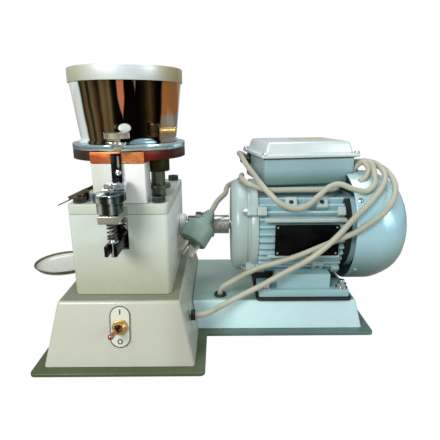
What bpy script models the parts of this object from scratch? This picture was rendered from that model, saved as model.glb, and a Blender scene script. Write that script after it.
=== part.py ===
"""Bench-top electric tablet press: painted base, gear case with hopper, and foot-mounted motor.

Run it in Blender 4.5. Blender's units are metres; every size below is in millimetres, and the
shape helpers convert it. +Z is up, +X runs from the gear case to the motor, +Y is the back.
The origin is on the floor, under the hopper's axis.
"""

import math

import bmesh
import bpy
from mathutils import Matrix, Vector

MM = 0.001
GAP = 0.3  # space left between neighbouring pieces
LARGE = 56  # sides of a large turned piece
MEDIUM = 32
SMALL = 16

# Base
PLATE = 4.0
PEDESTAL_TOP = 68.5
PEDESTAL_TOP_BOX = (-66.0, -72.0, 54.5, 125.0)
SLOPE = 0.225  # how far the base's walls lean out for each millimetre down
PLATFORM_TOP = 36.6
PLATFORM_TOP_BOX = (62.0, -8.0, 251.5, 125.0)
SHEET = 3.0
SWITCH_X = -4.2
SWITCH_Z = 43.6

# Gear case
CASE_LEFT, CASE_RIGHT = -52.0, 45.0
CASE_FRONT, CASE_BACK = -58.0, 90.0
CASE_LOW = PEDESTAL_TOP + GAP
CASE_HIGH = 152.0
CASE_WALL = 6.0
LID_LOW = CASE_HIGH + GAP
LID_HIGH = 162.3
LID_SCREW_INSET = 10.0

# Head: everything round about the hopper's axis
HEAD_R = 57.5
DIE_LOW, DIE_HIGH = 202.6, 211.6
RING_LOW, RING_HIGH = 211.9, 217.9
RING_BORE = 46.3
HOPPER_LOW, HOPPER_HIGH = 218.2, 276.5
HOPPER_LOW_R, HOPPER_HIGH_R = 48.2, 55.5
HOPPER_SHEET = 1.3
LID_R = 56.8
LID_RIM, LID_TOP = 275.0, 288.5
COLUMN_LEFT, COLUMN_RIGHT = -25.6, 24.6
COLUMN_FRONT, COLUMN_BACK = -56.5, -28.0
PUNCH_Y = -37.0
PUNCH_R = 4.6
FEED_X, FEED_Y = 30.4, -15.0
FEED_R = 7.2

# Front lift mechanism
ROD_X, ROD_Y, ROD_R = -3.0, -84.0, 2.3
LEVER_X = -3.0
LEVER_HALF = 5.8
PIVOT_Y, PIVOT_Z, PIVOT_R = -40.0, 114.0, 3.9
DISC_LOW, DISC_HIGH = 132.7, 134.5
GUIDE_LOW, GUIDE_HIGH = 152.6, 160.2
KNOB_X, KNOB_Y = 3.0, -66.0
KNOB_LOW, KNOB_HIGH = 224.6, 229.5

# Drive
AXIS_Y, AXIS_Z = 55.0, 110.0
CAM_X, CAM_Z = 4.0, 136.0
HOUSING_LEFT, HOUSING_RIGHT = 139.0, 235.0
COVER_LEFT, COVER_RIGHT = 245.3, 314.0
SHIELD_R, CORE_R, FIN_R, COVER_R = 56.0, 52.5, 59.0, 67.0
CABLE_R = 3.2
BOX_CORNER, BOX_TURN = (146.0, 25.0, 0.0), (0.0, 0.0, 9.0)
BOX_LOW, BOX_HIGH = 163.5, 195.3

FINISHES = {
    "base_paint": ((0.66, 0.71, 0.68), 0.35, 0.0),
    "case_paint": ((0.70, 0.74, 0.71), 0.35, 0.0),
    "column_paint": ((0.82, 0.84, 0.82), 0.35, 0.0),
    "motor_paint": ((0.52, 0.62, 0.64), 0.4, 0.3),
    "bronze": ((0.72, 0.26, 0.12), 0.35, 0.9),
    "polished_steel": ((0.80, 0.80, 0.78), 0.12, 1.0),
    "turned_aluminium": ((0.78, 0.79, 0.80), 0.3, 1.0),
    "black_steel": ((0.03, 0.03, 0.035), 0.4, 0.8),
    "bare_steel": ((0.55, 0.54, 0.51), 0.3, 1.0),
    "nickel": ((0.75, 0.70, 0.60), 0.25, 1.0),
    "brass": ((0.80, 0.58, 0.25), 0.3, 1.0),
    "rubber": ((0.02, 0.02, 0.02), 0.8, 0.0),
    "red_rubber": ((0.25, 0.07, 0.05), 0.6, 0.0),
    "cable_grey": ((0.56, 0.54, 0.46), 0.5, 0.0),
    "plug_green": ((0.22, 0.33, 0.28), 0.45, 0.0),
}


# ---------------------------------------------------------------- helpers


def clear_scene():
    for obj in list(bpy.data.objects):
        bpy.data.objects.remove(obj, do_unlink=True)


def make_collection(name):
    group = bpy.data.collections.new(name)
    bpy.context.scene.collection.children.link(group)
    return group


def make_finish(name):
    colour, roughness, metallic = FINISHES[name]
    finish = bpy.data.materials.new(name)
    finish.use_nodes = True
    shader = finish.node_tree.nodes["Principled BSDF"]
    shader.inputs["Base Color"].default_value = (*colour, 1.0)
    shader.inputs["Roughness"].default_value = roughness
    shader.inputs["Metallic"].default_value = metallic
    return finish


def place(name, mesh, finish, at=(0, 0, 0), turn=(0, 0, 0)):
    """A new object. Without a finish it is a helper for Booleans, and is kept out of the render."""
    obj = bpy.data.objects.new(name, mesh)
    obj.location = Vector(at) * MM
    obj.rotation_euler = [math.radians(angle) for angle in turn]
    if finish:
        PARTS.objects.link(obj)
        mesh.materials.append(FINISH[finish])
    else:
        CUTTERS.objects.link(obj)
        obj.hide_render = True
        obj.display_type = "WIRE"
    return obj


def mesh_of(name, form):
    mesh = bpy.data.meshes.new(name)
    form.to_mesh(mesh)
    form.free()
    return mesh


def block(name, low, high, finish=None, origin=None, at=(0, 0, 0), turn=(0, 0, 0)):
    """A box between two corners, with its origin at its centre or at a given point."""
    low, high = Vector(low), Vector(high)
    centre = (low + high) / 2
    origin = centre if origin is None else Vector(origin)
    form = bmesh.new()
    bmesh.ops.create_cube(form, size=1.0)
    bmesh.ops.scale(form, vec=(high - low) * MM, verts=form.verts)
    bmesh.ops.translate(form, vec=(centre - origin) * MM, verts=form.verts)
    return place(name, mesh_of(name, form), finish, Vector(at) + origin, turn)


def leaning_block(
    name, low_box, low, high_box, high, open_sides=(), finish=None, at=(0, 0, 0), turn=(0, 0, 0)
):
    """A box whose foot and top are different rectangles, with chosen sides left open."""
    form = bmesh.new()
    bmesh.ops.create_cube(form, size=2.0)
    removed = [f for f in form.faces if tuple(round(c) for c in f.normal) in open_sides]
    bmesh.ops.delete(form, geom=removed, context="FACES_ONLY")
    for vert in form.verts:
        x0, y0, x1, y1 = high_box if vert.co.z > 0 else low_box
        place_z = high if vert.co.z > 0 else low
        vert.co = Vector((x1 if vert.co.x > 0 else x0, y1 if vert.co.y > 0 else y0, place_z)) * MM
    return place(name, mesh_of(name, form), finish, at, turn)


TURNS = {"Z": (0, 0, 0), "X": (0, 90, 0), "Y": (-90, 0, 0)}


def turned(name, profile, at, finish=None, axis="Z", sides=MEDIUM, ring=False, turn=None):
    """A turned piece. The profile is (radius, height) down the outside; a ring closes on itself."""
    mesh = bpy.data.meshes.new(name)
    points = [(radius * MM, 0, height * MM) for radius, height in profile]
    edges = [(i, i + 1) for i in range(len(points) - 1)]
    if ring:
        edges.append((len(points) - 1, 0))
    mesh.from_pydata(points, edges, [])
    obj = place(name, mesh, finish, at, TURNS[axis] if turn is None else turn)
    screw = obj.modifiers.new("Turn", "SCREW")
    screw.steps = screw.render_steps = sides
    screw.use_merge_vertices = True
    screw.merge_threshold = 0.00001
    return obj


def rod(name, radius, length, at, finish=None, axis="Z", sides=MEDIUM, turn=None):
    profile = [(0, length), (radius, length), (radius, 0), (0, 0)]
    return turned(name, profile, at, finish, axis, sides, turn=turn)


def tube(name, outer, inner, length, at, finish=None, axis="Z", sides=MEDIUM, turn=None):
    profile = [(outer, length), (outer, 0), (inner, 0), (inner, length)]
    return turned(name, profile, at, finish, axis, sides, ring=True, turn=turn)


def circle(radius, sides, centre=(0, 0)):
    steps = [2 * math.pi * i / sides for i in range(sides)]
    return [(centre[0] + radius * math.cos(a), centre[1] + radius * math.sin(a)) for a in steps]


def rounded(corners, radius, steps=4):
    """The outline through the corners, anticlockwise, with each outer corner rounded by an arc."""
    outline = []
    for i, corner in enumerate(corners):
        point = Vector(corner)
        back = (Vector(corners[i - 1]) - point).normalized()
        ahead = (Vector(corners[(i + 1) % len(corners)]) - point).normalized()
        if back.x * ahead.y - back.y * ahead.x > 0:
            outline.append(corner)
            continue
        centre = point + (back + ahead) * radius
        for step in range(steps + 1):
            angle = math.pi / 2 * step / steps
            offset = -ahead * math.cos(angle) - back * math.sin(angle)
            outline.append(tuple(centre + offset * radius))
    return outline


def rectangle(x0, y0, x1, y1, radius=0.0, steps=4):
    corners = [(x0, y0), (x1, y0), (x1, y1), (x0, y1)]
    return rounded(corners, radius, steps) if radius else corners


def gear(radius, depth, teeth):
    """A toothed outline with short flat teeth."""
    outline = []
    for tooth in range(teeth):
        for share, reach in ((0.0, radius - depth), (0.3, radius), (0.6, radius), (0.9, radius - depth)):
            angle = 2 * math.pi * (tooth + share) / teeth
            outline.append((reach * math.cos(angle), reach * math.sin(angle)))
    return outline


def sheet(name, outlines, low, high, finish=None, at=(0, 0, 0), turn=(0, 0, 0)):
    """A flat outline, with any holes as further outlines, made solid between two heights."""
    curve = bpy.data.curves.new(name, "CURVE")
    curve.dimensions = "2D"
    curve.fill_mode = "BOTH"
    curve.extrude = (high - low) / 2 * MM
    for outline in outlines:
        spline = curve.splines.new("POLY")
        spline.points.add(len(outline) - 1)
        for point, (x, y) in zip(spline.points, outline):
            point.co = (x * MM, y * MM, 0, 1)
        spline.use_cyclic_u = True
    guide = bpy.data.objects.new(name + "_outline", curve)
    form = bmesh.new()
    form.from_mesh(bpy.data.meshes.new_from_object(guide))
    bpy.data.objects.remove(guide)
    bmesh.ops.remove_doubles(form, verts=form.verts, dist=0.000001)
    bmesh.ops.translate(form, vec=(0, 0, (high + low) / 2 * MM), verts=form.verts)
    bmesh.ops.recalc_face_normals(form, faces=form.faces)
    return place(name, mesh_of(name, form), finish, at, turn)


def smooth_path(points, steps=2):
    """Points along a Catmull-Rom curve through the given ones."""
    points = [Vector(p) for p in points]
    ends = [2 * points[0] - points[1]] + points + [2 * points[-1] - points[-2]]
    path = []
    for a, b, c, d in zip(ends, ends[1:], ends[2:], ends[3:]):
        for step in range(steps):
            t = step / steps
            path.append(
                0.5 * (2 * b + (c - a) * t + (2 * a - 5 * b + 4 * c - d) * t**2 + (3 * b - a - 3 * c + d) * t**3)
            )
    return path + [points[-1]]


def wire(name, path, radius, finish, resolution=2):
    curve = bpy.data.curves.new(name, "CURVE")
    curve.dimensions = "3D"
    curve.bevel_depth = radius * MM
    curve.bevel_resolution = resolution
    curve.use_fill_caps = True
    spline = curve.splines.new("POLY")
    spline.points.add(len(path) - 1)
    for point, place_of_point in zip(spline.points, path):
        point.co = (*(Vector(place_of_point) * MM), 1)
    obj = bpy.data.objects.new(name, curve)
    PARTS.objects.link(obj)
    curve.materials.append(FINISH[finish])
    return obj


def boolean(obj, operation, *others):
    for other in others:
        modifier = obj.modifiers.new(other.name, "BOOLEAN")
        modifier.operation = operation
        modifier.solver = "EXACT"
        modifier.object = other
    return obj


def cut(obj, *cutters):
    return boolean(obj, "DIFFERENCE", *cutters)


def join(obj, *others):
    return boolean(obj, "UNION", *others)


def soften(obj, width, segments=2):
    bevel = obj.modifiers.new("Soften", "BEVEL")
    bevel.width = width * MM
    bevel.segments = segments
    return obj


def thicken(obj, thickness):
    solidify = obj.modifiers.new("Sheet", "SOLIDIFY")
    solidify.thickness = thickness * MM
    solidify.offset = -1.0
    return obj


def body(name, pivot, *pieces):
    """An empty on a joint's axis, which carries the pieces that move together."""
    empty = bpy.data.objects.new(name + "_pivot", None)
    empty.empty_display_size = 0.01
    empty.location = Vector(pivot) * MM
    PARTS.objects.link(empty)
    for piece in pieces:
        piece.parent = empty
        piece.matrix_parent_inverse = Matrix.Translation(-empty.location)
    return empty


# ---------------------------------------------------------------- base


def grown(box, reach):
    x0, y0, x1, y1 = box
    return (x0 - reach, y0 - reach, x1 + reach, y1 + reach)


def wall_y(height):
    """Where the pedestal's front wall is at this height."""
    return PEDESTAL_TOP_BOX[1] - (PEDESTAL_TOP - height) * SLOPE


def wall_x(height):
    return PEDESTAL_TOP_BOX[2] + (PEDESTAL_TOP - height) * SLOPE


def make_base():
    foot = PLATE - 1.0  # the walls are made too long, then cut off level just above the plate
    pedestal_foot = grown(PEDESTAL_TOP_BOX, (PEDESTAL_TOP - foot) * SLOPE)
    platform_foot = grown(PLATFORM_TOP_BOX, (PLATFORM_TOP - foot) * SLOPE)
    flange = 10.0
    corners = [
        (pedestal_foot[0] - flange, pedestal_foot[1] - flange),
        (pedestal_foot[2] + flange, pedestal_foot[1] - flange),
        (pedestal_foot[2] + flange, platform_foot[1] - flange),
        (platform_foot[2] + flange, platform_foot[1] - flange),
        (platform_foot[2] + flange, pedestal_foot[3] + 4),
        (pedestal_foot[0] - flange, pedestal_foot[3] + 4),
    ]
    sheet("base_plate", [rounded(corners, 5.0)], 0, PLATE, "base_paint")

    pedestal = leaning_block(
        "pedestal", pedestal_foot, foot, PEDESTAL_TOP_BOX, PEDESTAL_TOP, {(0, 0, -1)}, "base_paint"
    )
    soften(pedestal, 3.5)
    thicken(pedestal, SHEET)
    switch_hole = rod("switch_hole", 6.3, 20, switch_point(-10), turn=switch_turn(), sides=SMALL)
    cable_hole = rod("cable_hole", 4.6, 20, (wall_x(38) - 10, -45, 38), axis="X", sides=SMALL)
    level = block("level", (-150, -150, -10), (350, 200, PLATE + GAP))
    cut(pedestal, switch_hole, cable_hole, level)

    left_foot = wall_x(foot) + GAP
    left_top = wall_x(PLATFORM_TOP - SHEET) + GAP
    platform = leaning_block(
        "motor_platform",
        (left_foot, *platform_foot[1:]),
        foot,
        (left_top, *PLATFORM_TOP_BOX[1:]),
        PLATFORM_TOP,
        {(0, 0, -1), (-1, 0, 0)},
        "base_paint",
    )
    soften(platform, 3.0)
    thicken(platform, SHEET)
    platform_hole = rod("platform_hole", 4.6, 20, (94.5, 4.5, PLATFORM_TOP - 10), sides=SMALL)
    cut(platform, platform_hole, level)

    tube("cable_clip", 5.8, 4.2, 4.5, (wall_x(38) + 1.9, -45, 38), "rubber", "X", SMALL)
    tube("cable_grommet", 7.2, 4.3, 3.0, (94.5, 4.5, PLATFORM_TOP + GAP), "rubber", sides=SMALL)


def switch_turn():
    """The turn that points a piece's own Z axis straight out of the pedestal's leaning front."""
    return (90 - math.degrees(math.atan(SLOPE)), 0, 0)


def switch_point(out):
    """The point this far in front of the switch's place on the pedestal."""
    lean = math.atan(SLOPE)
    return (
        SWITCH_X,
        wall_y(SWITCH_Z) - out * math.cos(lean),
        SWITCH_Z + out * math.sin(lean),
    )


def make_switch():
    turn = switch_turn()
    plate = rectangle(-10.3, -21, 10.3, 21, 10.2, 8)
    sheet("switch_plate", [plate, circle(6.3, SMALL)], 0.3, 1.1, "column_paint", switch_point(0), turn)
    nut = sheet("switch_nut", [circle(8.0, 6)], 1.4, 4.4, "brass", switch_point(0), turn)
    bush = rod("switch_bush", 5.8, 18.0, switch_point(-12), sides=SMALL, turn=turn)
    well = rod("switch_well", 4.3, 20.0, switch_point(0.5), sides=SMALL, turn=turn)
    join(nut, bush)
    cut(nut, well)

    lean_down, lean_left = 11.0, 12.0  # how far the lever rests from the plate's normal
    bat = [(0, 22), (1.9, 21.6), (2.8, 20), (2.7, 16), (1.7, 4), (1.6, 0.6), (0, 0.6)]
    lever = turned(
        "toggle_lever", bat, switch_point(1.0), "nickel", sides=SMALL, turn=(turn[0] + lean_down, 0, -lean_left)
    )
    body("toggle", switch_point(1.0), lever)


# ---------------------------------------------------------------- gear case


def make_case():
    outline = rectangle(CASE_LEFT, CASE_FRONT, CASE_RIGHT, CASE_BACK, 5.0)
    wall = CASE_WALL
    inside_low = (CASE_LEFT + wall, CASE_FRONT + wall, CASE_LOW + wall)
    inside_high = (CASE_RIGHT - wall, CASE_BACK - wall, CASE_HIGH + 5)
    case = sheet("gearbox_housing", [outline], CASE_LOW, CASE_HIGH, "case_paint")
    cut(
        case,
        block("case_inside", inside_low, inside_high),
        block("lever_opening", (-11.5, CASE_FRONT - 3, 117), (5.5, CASE_FRONT + 10, 149.5)),
        rod("worm_shaft_hole", 9.0, 20, (CASE_RIGHT - 12, AXIS_Y, AXIS_Z), axis="X"),
        rod("cam_shaft_hole", 5.5, 20, (CAM_X, CASE_BACK - 12, CAM_Z), axis="Y", sides=SMALL),
    )

    lid = soften(sheet("gearbox_lid", [outline], LID_LOW, LID_HIGH, "case_paint"), 0.6, 1)
    recess_low = (inside_low[0], inside_low[1], LID_LOW - 2)
    recess_high = (inside_high[0], inside_high[1], LID_LOW + 5.5)
    cut(
        lid,
        block("lid_recess", recess_low, recess_high),
        rod("lid_punch_hole", PUNCH_R + 0.4, 30, (0, PUNCH_Y, LID_LOW - 5), sides=SMALL),
        rod("lid_feed_hole", FEED_R + 0.6, 30, (FEED_X, FEED_Y, LID_LOW - 5), sides=MEDIUM),
    )

    socket_screw = [(0, 2.6), (3.4, 2.6), (3.4, 6.0), (5.6, 6.0), (6.2, 5.4), (6.2, 0), (0, 0)]
    across = {"left": CASE_LEFT + LID_SCREW_INSET, "right": CASE_RIGHT - LID_SCREW_INSET}
    along = {"front": CASE_FRONT + LID_SCREW_INSET, "rear": CASE_BACK - LID_SCREW_INSET}
    for side, x in across.items():
        for end, y in along.items():
            turned(f"lid_screw_{end}_{side}", socket_screw, (x, y, LID_HIGH + GAP), "nickel", sides=SMALL)
    tube("side_bearing", 14.0, 6.6, 7.5, (CASE_RIGHT + GAP, AXIS_Y, AXIS_Z), "case_paint", "X")


def make_column():
    column = block(
        "press_column",
        (COLUMN_LEFT, COLUMN_FRONT, LID_HIGH + GAP),
        (COLUMN_RIGHT, COLUMN_BACK, DIE_LOW - 1.3 - GAP),
        "column_paint",
    )
    soften(column, 0.8, 1)
    cut(column, rod("column_bore", PUNCH_R + 0.4, 60, (0, PUNCH_Y, LID_HIGH - 5), sides=SMALL))


# ---------------------------------------------------------------- head


def make_head():
    die = rod("die_plate", HEAD_R, DIE_HIGH - DIE_LOW, (0, 0, DIE_LOW), "bronze", sides=LARGE)
    shelf_low = (COLUMN_LEFT, -HEAD_R - 0.2, DIE_LOW - 1.3)
    join(die, block("die_shelf", shelf_low, (COLUMN_RIGHT, COLUMN_BACK, DIE_HIGH)))
    cut(
        die,
        rod("gear_pocket", 25.2, 20, (0, 0, 207.2), sides=MEDIUM),
        rod("pinion_pocket", 9.9, 20, (FEED_X, FEED_Y, 207.2), sides=MEDIUM),
        rod("die_bore", PUNCH_R + 0.4, 40, (0, PUNCH_Y, DIE_LOW - 20), sides=SMALL),
        rod("feed_bore", FEED_R + 0.5, 40, (FEED_X, FEED_Y, DIE_LOW - 20), sides=MEDIUM),
        rod("spindle_bore", 4.5, 40, (0, 0, DIE_LOW - 20), sides=SMALL),
    )

    pad_low = 214.6
    ring = tube("hopper_ring", HEAD_R, RING_BORE, RING_HIGH - RING_LOW, (0, 0, RING_LOW), "polished_steel", sides=LARGE)
    join(ring, block("press_pad", (-13, -47.6, pad_low), (13, -27, RING_HIGH)))

    dial_low, dial_high = 212.2, 214.2
    pockets = 8
    pocket_ring = [circle(5.0, 12, (0, PUNCH_Y))]
    for i in range(1, pockets):
        turn = Matrix.Rotation(2 * math.pi * i / pockets, 2)
        pocket_ring.append([tuple(turn @ Vector(p)) for p in pocket_ring[0]])
    dial = sheet("feed_dial", [circle(45.7, LARGE), *pocket_ring], dial_low, dial_high, "polished_steel")
    teeth = sheet("dial_teeth", [gear(24.2, 1.6, 28)], 207.6, dial_low + 0.6)
    spindle = rod("dial_spindle", 4.0, 10, (0, 0, DIE_LOW + 0.4), sides=SMALL)
    join(dial, teeth, spindle)

    hub = [(0, 240), (2.2, 239), (3.0, 234), (8.0, 222), (9.0, 214.5), (0, 214.5)]
    agitator = turned("agitator", hub, (0, 0, 0), "polished_steel", sides=SMALL)
    for i in range(3):
        arm = rod(f"agitator_arm_{i}", 1.8, 36, (0, 0, 221), axis="X", sides=8)
        arm.rotation_euler = (0, math.pi / 2, 2 * math.pi * i / 3)
        join(agitator, arm)
    body("feed_dial", (0, 0, 0), dial, agitator)

    punch = [(0, 205.4), (PUNCH_R, 205.4), (PUNCH_R, 151), (6.5, 151), (6.5, 148.2), (0, 148.2)]
    body("punch", (0, PUNCH_Y, 0), turned("lower_punch", punch, (0, PUNCH_Y, 0), "polished_steel", sides=SMALL))

    boss_low = 188.6
    tube("feed_boss", 12.2, FEED_R + 0.6, DIE_LOW - GAP - boss_low, (FEED_X, FEED_Y, boss_low), "bronze")
    profile = [
        (0, 208),
        (FEED_R, 208),
        (FEED_R, 175),
        (12.6, 175),
        (12.6, 170.5),
        (FEED_R, 170.5),
        (FEED_R, 124),
        (0, 124),
    ]
    shaft = turned("feed_shaft", profile, (FEED_X, FEED_Y, 0), "bare_steel", sides=SMALL)
    pinion = sheet("pinion", [gear(8.9, 1.5, 11)], 207.6, 211.2, at=(FEED_X, FEED_Y, 0))
    helical = sheet("feed_gear", [gear(8.3, 1.1, 10)], 128, 144, at=(FEED_X, FEED_Y, 0))
    join(shaft, pinion, helical)
    body("feed_shaft", (FEED_X, FEED_Y, 0), shaft)


def make_hopper():
    wall = HOPPER_SHEET
    foot = 2.0
    shell = [
        (HOPPER_HIGH_R, HOPPER_HIGH),
        (HOPPER_LOW_R, HOPPER_LOW + foot),
        (HOPPER_LOW_R + 2.2, HOPPER_LOW + foot),
        (HOPPER_LOW_R + 2.2, HOPPER_LOW),
        (HOPPER_LOW_R - wall, HOPPER_LOW),
        (HOPPER_HIGH_R - wall, HOPPER_HIGH),
    ]
    hopper = turned("hopper", shell, (0, 0, 0), "polished_steel", sides=LARGE, ring=True)
    join(hopper, block("screw_lug", (29.5, -46, 224), (37.8, -38.6, 237)))
    screw = [(0, 15), (2.6, 15), (3.5, 14), (3.5, 0), (1.6, 0), (1.6, -0.1), (0, -0.1)]
    thumb = turned("thumb_screw", screw, (38.3, -42.3, 230), "brass", "X", SMALL)
    body("thumb_screw", (38.3, -42.3, 230), thumb)
    body("hopper", (0, 0, HOPPER_LOW), hopper)

    cap = [
        (0, LID_TOP),
        (LID_R - 1, LID_TOP),
        (LID_R, LID_TOP - 1),
        (LID_R, LID_RIM),
        (LID_R - 1, LID_RIM),
        (LID_R - 1, HOPPER_HIGH + 0.5),
        (HOPPER_HIGH_R - 4, HOPPER_HIGH + 0.5),
        (HOPPER_HIGH_R - 4, LID_TOP - 2.2),
        (0, LID_TOP - 2.2),
    ]
    body("hopper_lid", (0, 0, LID_RIM), turned("hopper_lid", cap, (0, 0, 0), "turned_aluminium", sides=LARGE))


# ---------------------------------------------------------------- front lift mechanism


def make_adjuster():
    arm_low = (KNOB_X - 6.5, KNOB_Y - 4, RING_HIGH + 0.3)
    arm = block("knob_bracket", arm_low, (KNOB_X + 6.5, -50.4, 221.4), "polished_steel")
    boss = rod("bracket_boss", 5.6, 6.2, (KNOB_X, KNOB_Y, 215.0), sides=MEDIUM)
    bore = rod("bracket_bore", 3.3, 30, (KNOB_X, KNOB_Y, 200), sides=SMALL)
    join(arm, boss)
    cut(arm, bore)
    head = sheet("adjust_knob", [gear(11.3, 0.5, 36)], KNOB_LOW, KNOB_HIGH, "nickel", (KNOB_X, KNOB_Y, 0))
    stem = rod("knob_stem", 2.9, 13.0, (KNOB_X, KNOB_Y, 212.4), sides=SMALL)
    join(head, stem)
    body("adjust_knob", (KNOB_X, KNOB_Y, 0), head)


def make_lift():
    strip = sheet(
        "slide_strip",
        [rectangle(-6.0, 180, 3.5, 210.6), rectangle(-0.7, 197, 1.7, 208.6, 1.1, 3)],
        0,
        1.6,
        "black_steel",
        (0, -58.1, 0),
        (90, 0, 0),
    )
    clamp = block("clamp_block", (-8, -78, 179), (9.5, -60.1, 186), "polished_steel")
    soften(clamp, 0.7, 1)
    join(clamp, block("clamp_tongue", (-8, -90, 179.2), (2, -72, 183)))
    cut(clamp, rod("clamp_bore", ROD_R + 0.4, 20, (ROD_X, ROD_Y, 170), sides=SMALL))
    rod_profile = [
        (0, 187.0),
        (4.0, 186.4),
        (4.0, 183.4),
        (ROD_R, 183.4),
        (ROD_R, DISC_HIGH),
        (5.0, DISC_HIGH),
        (5.0, DISC_LOW),
        (2.5, DISC_LOW),
        (2.5, 119.6),
        (1.9, 119.0),
        (0, 119.0),
    ]
    lift_rod = turned("lift_rod", rod_profile, (ROD_X, ROD_Y, 0), "polished_steel", sides=SMALL)
    body("lift_slide", (ROD_X, ROD_Y, 0), strip, clamp, lift_rod)

    cup_profile = [
        (14.6, 177.6),
        (14.6, 171.5),
        (11.8, 170.6),
        (11.8, 161.4),
        (11.0, 160.6),
        (ROD_R + 0.4, 160.6),
        (ROD_R + 0.4, 178.3),
        (13.8, 178.3),
    ]
    cup = turned("adjust_cup", cup_profile, (ROD_X, ROD_Y, 0), "polished_steel", ring=True)
    body("adjust_cup", (ROD_X, ROD_Y, 0), cup)

    guide = block("guide_block", (-12, -95, GUIDE_LOW), (6, CASE_FRONT - GAP, GUIDE_HIGH), "bare_steel")
    soften(guide, 0.7, 1)
    cut(guide, rod("guide_bore", ROD_R + 0.4, 20, (ROD_X, ROD_Y, 146), sides=SMALL))

    coil_r, wire_r = 4.0, 0.75
    low, high, turns = DISC_HIGH + 0.2 + wire_r, GUIDE_LOW - GAP - wire_r, 5.5
    count = int(turns * 12)
    coil = []
    for i in range(count + 1):
        share = i / count
        angle = 2 * math.pi * turns * share
        coil.append((coil_r * math.cos(angle) + ROD_X, coil_r * math.sin(angle) + ROD_Y, low + (high - low) * share))
    wire("rod_spring", coil, wire_r, "bare_steel", resolution=0)


def make_lever():
    left, right = LEVER_X - LEVER_HALF, LEVER_X + LEVER_HALF
    pivot = (LEVER_X, PIVOT_Y, PIVOT_Z)
    lever = block("rocker_lever", (left, -94, 122), (right, -47, 132.2), "black_steel", pivot)
    soften(lever, 0.8, 1)
    join(
        lever,
        block("lever_web", (left, -50.5, 106), (right, -31, 125)),
        block("lever_tail", (left, -33, 104), (right, 12, 113)),
        block("lever_pad", (left, -2, 112), (right, 10, 121)),
    )
    slot_half = 2.9
    cut(
        lever,
        block("fork_slot", (LEVER_X - slot_half, -98, 115), (LEVER_X + slot_half, -73, 140)),
        rod("pivot_bore", PIVOT_R + 0.4, 40, (-24, PIVOT_Y, PIVOT_Z), axis="X", sides=SMALL),
    )
    body("rocker", pivot, lever)
    pin_left = CASE_LEFT + CASE_WALL + 0.4
    pin_length = CASE_RIGHT - CASE_WALL - 0.4 - pin_left
    rod("lever_pivot", PIVOT_R, pin_length, (pin_left, PIVOT_Y, PIVOT_Z), "bare_steel", "X", SMALL)


# ---------------------------------------------------------------- outlet


def make_outlet():
    start, end = Vector((-31.5, -39, 174.5)), Vector((-85.5, 6, 148))
    along = (end - start).normalized()
    view = Vector((-0.34, 0.92, -0.2))  # a direction that lies in the chute's floor
    normal = -along.cross(view).normalized()
    across = normal.cross(along)
    length, half, thick, lip = (end - start).length, 7.0, 1.2, 3.0
    frame = Matrix((along, across, normal)).transposed().to_euler()
    turn = [math.degrees(angle) for angle in frame]
    side, point = length * 0.5, 1.2
    outline = [(0, -half), (side, -half), (length, -point), (length, point), (side, half), (0, half)]
    floor = sheet("chute", [outline], -thick, 0, "polished_steel", start, turn)
    for way in (-1, 1):
        low, high = sorted((way * half, way * (half - thick)))
        join(floor, block(f"chute_lip_{way}", (0, low, -thick), (side, high, lip), None, (0, 0, 0), start, turn))
    join(floor, block("chute_leg", (-41.5, -40, LID_HIGH + GAP), (-36.5, -34, 172)))

    tray_x, tray_y, tray_r = -88.2, 16.5, 35.5
    dish = [
        (0, 71.9),
        (tray_r - 5.0, 71.9),
        (tray_r - 1.4, 76.6),
        (tray_r - 0.7, 77.0),
        (tray_r, 76.4),
        (tray_r - 4.4, 70.9),
        (0, 70.9),
    ]
    tray = turned("catch_tray", dish, (tray_x, tray_y, 0), "polished_steel", sides=LARGE)
    body("catch_tray", (tray_x, tray_y, 70.9), tray)
    arm = rectangle(-104, tray_y - 10, CASE_LEFT - 1, tray_y + 10, 4.0)
    sheet("tray_bracket", [arm], PEDESTAL_TOP + GAP, 70.6, "bare_steel")


# ---------------------------------------------------------------- drive


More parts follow.
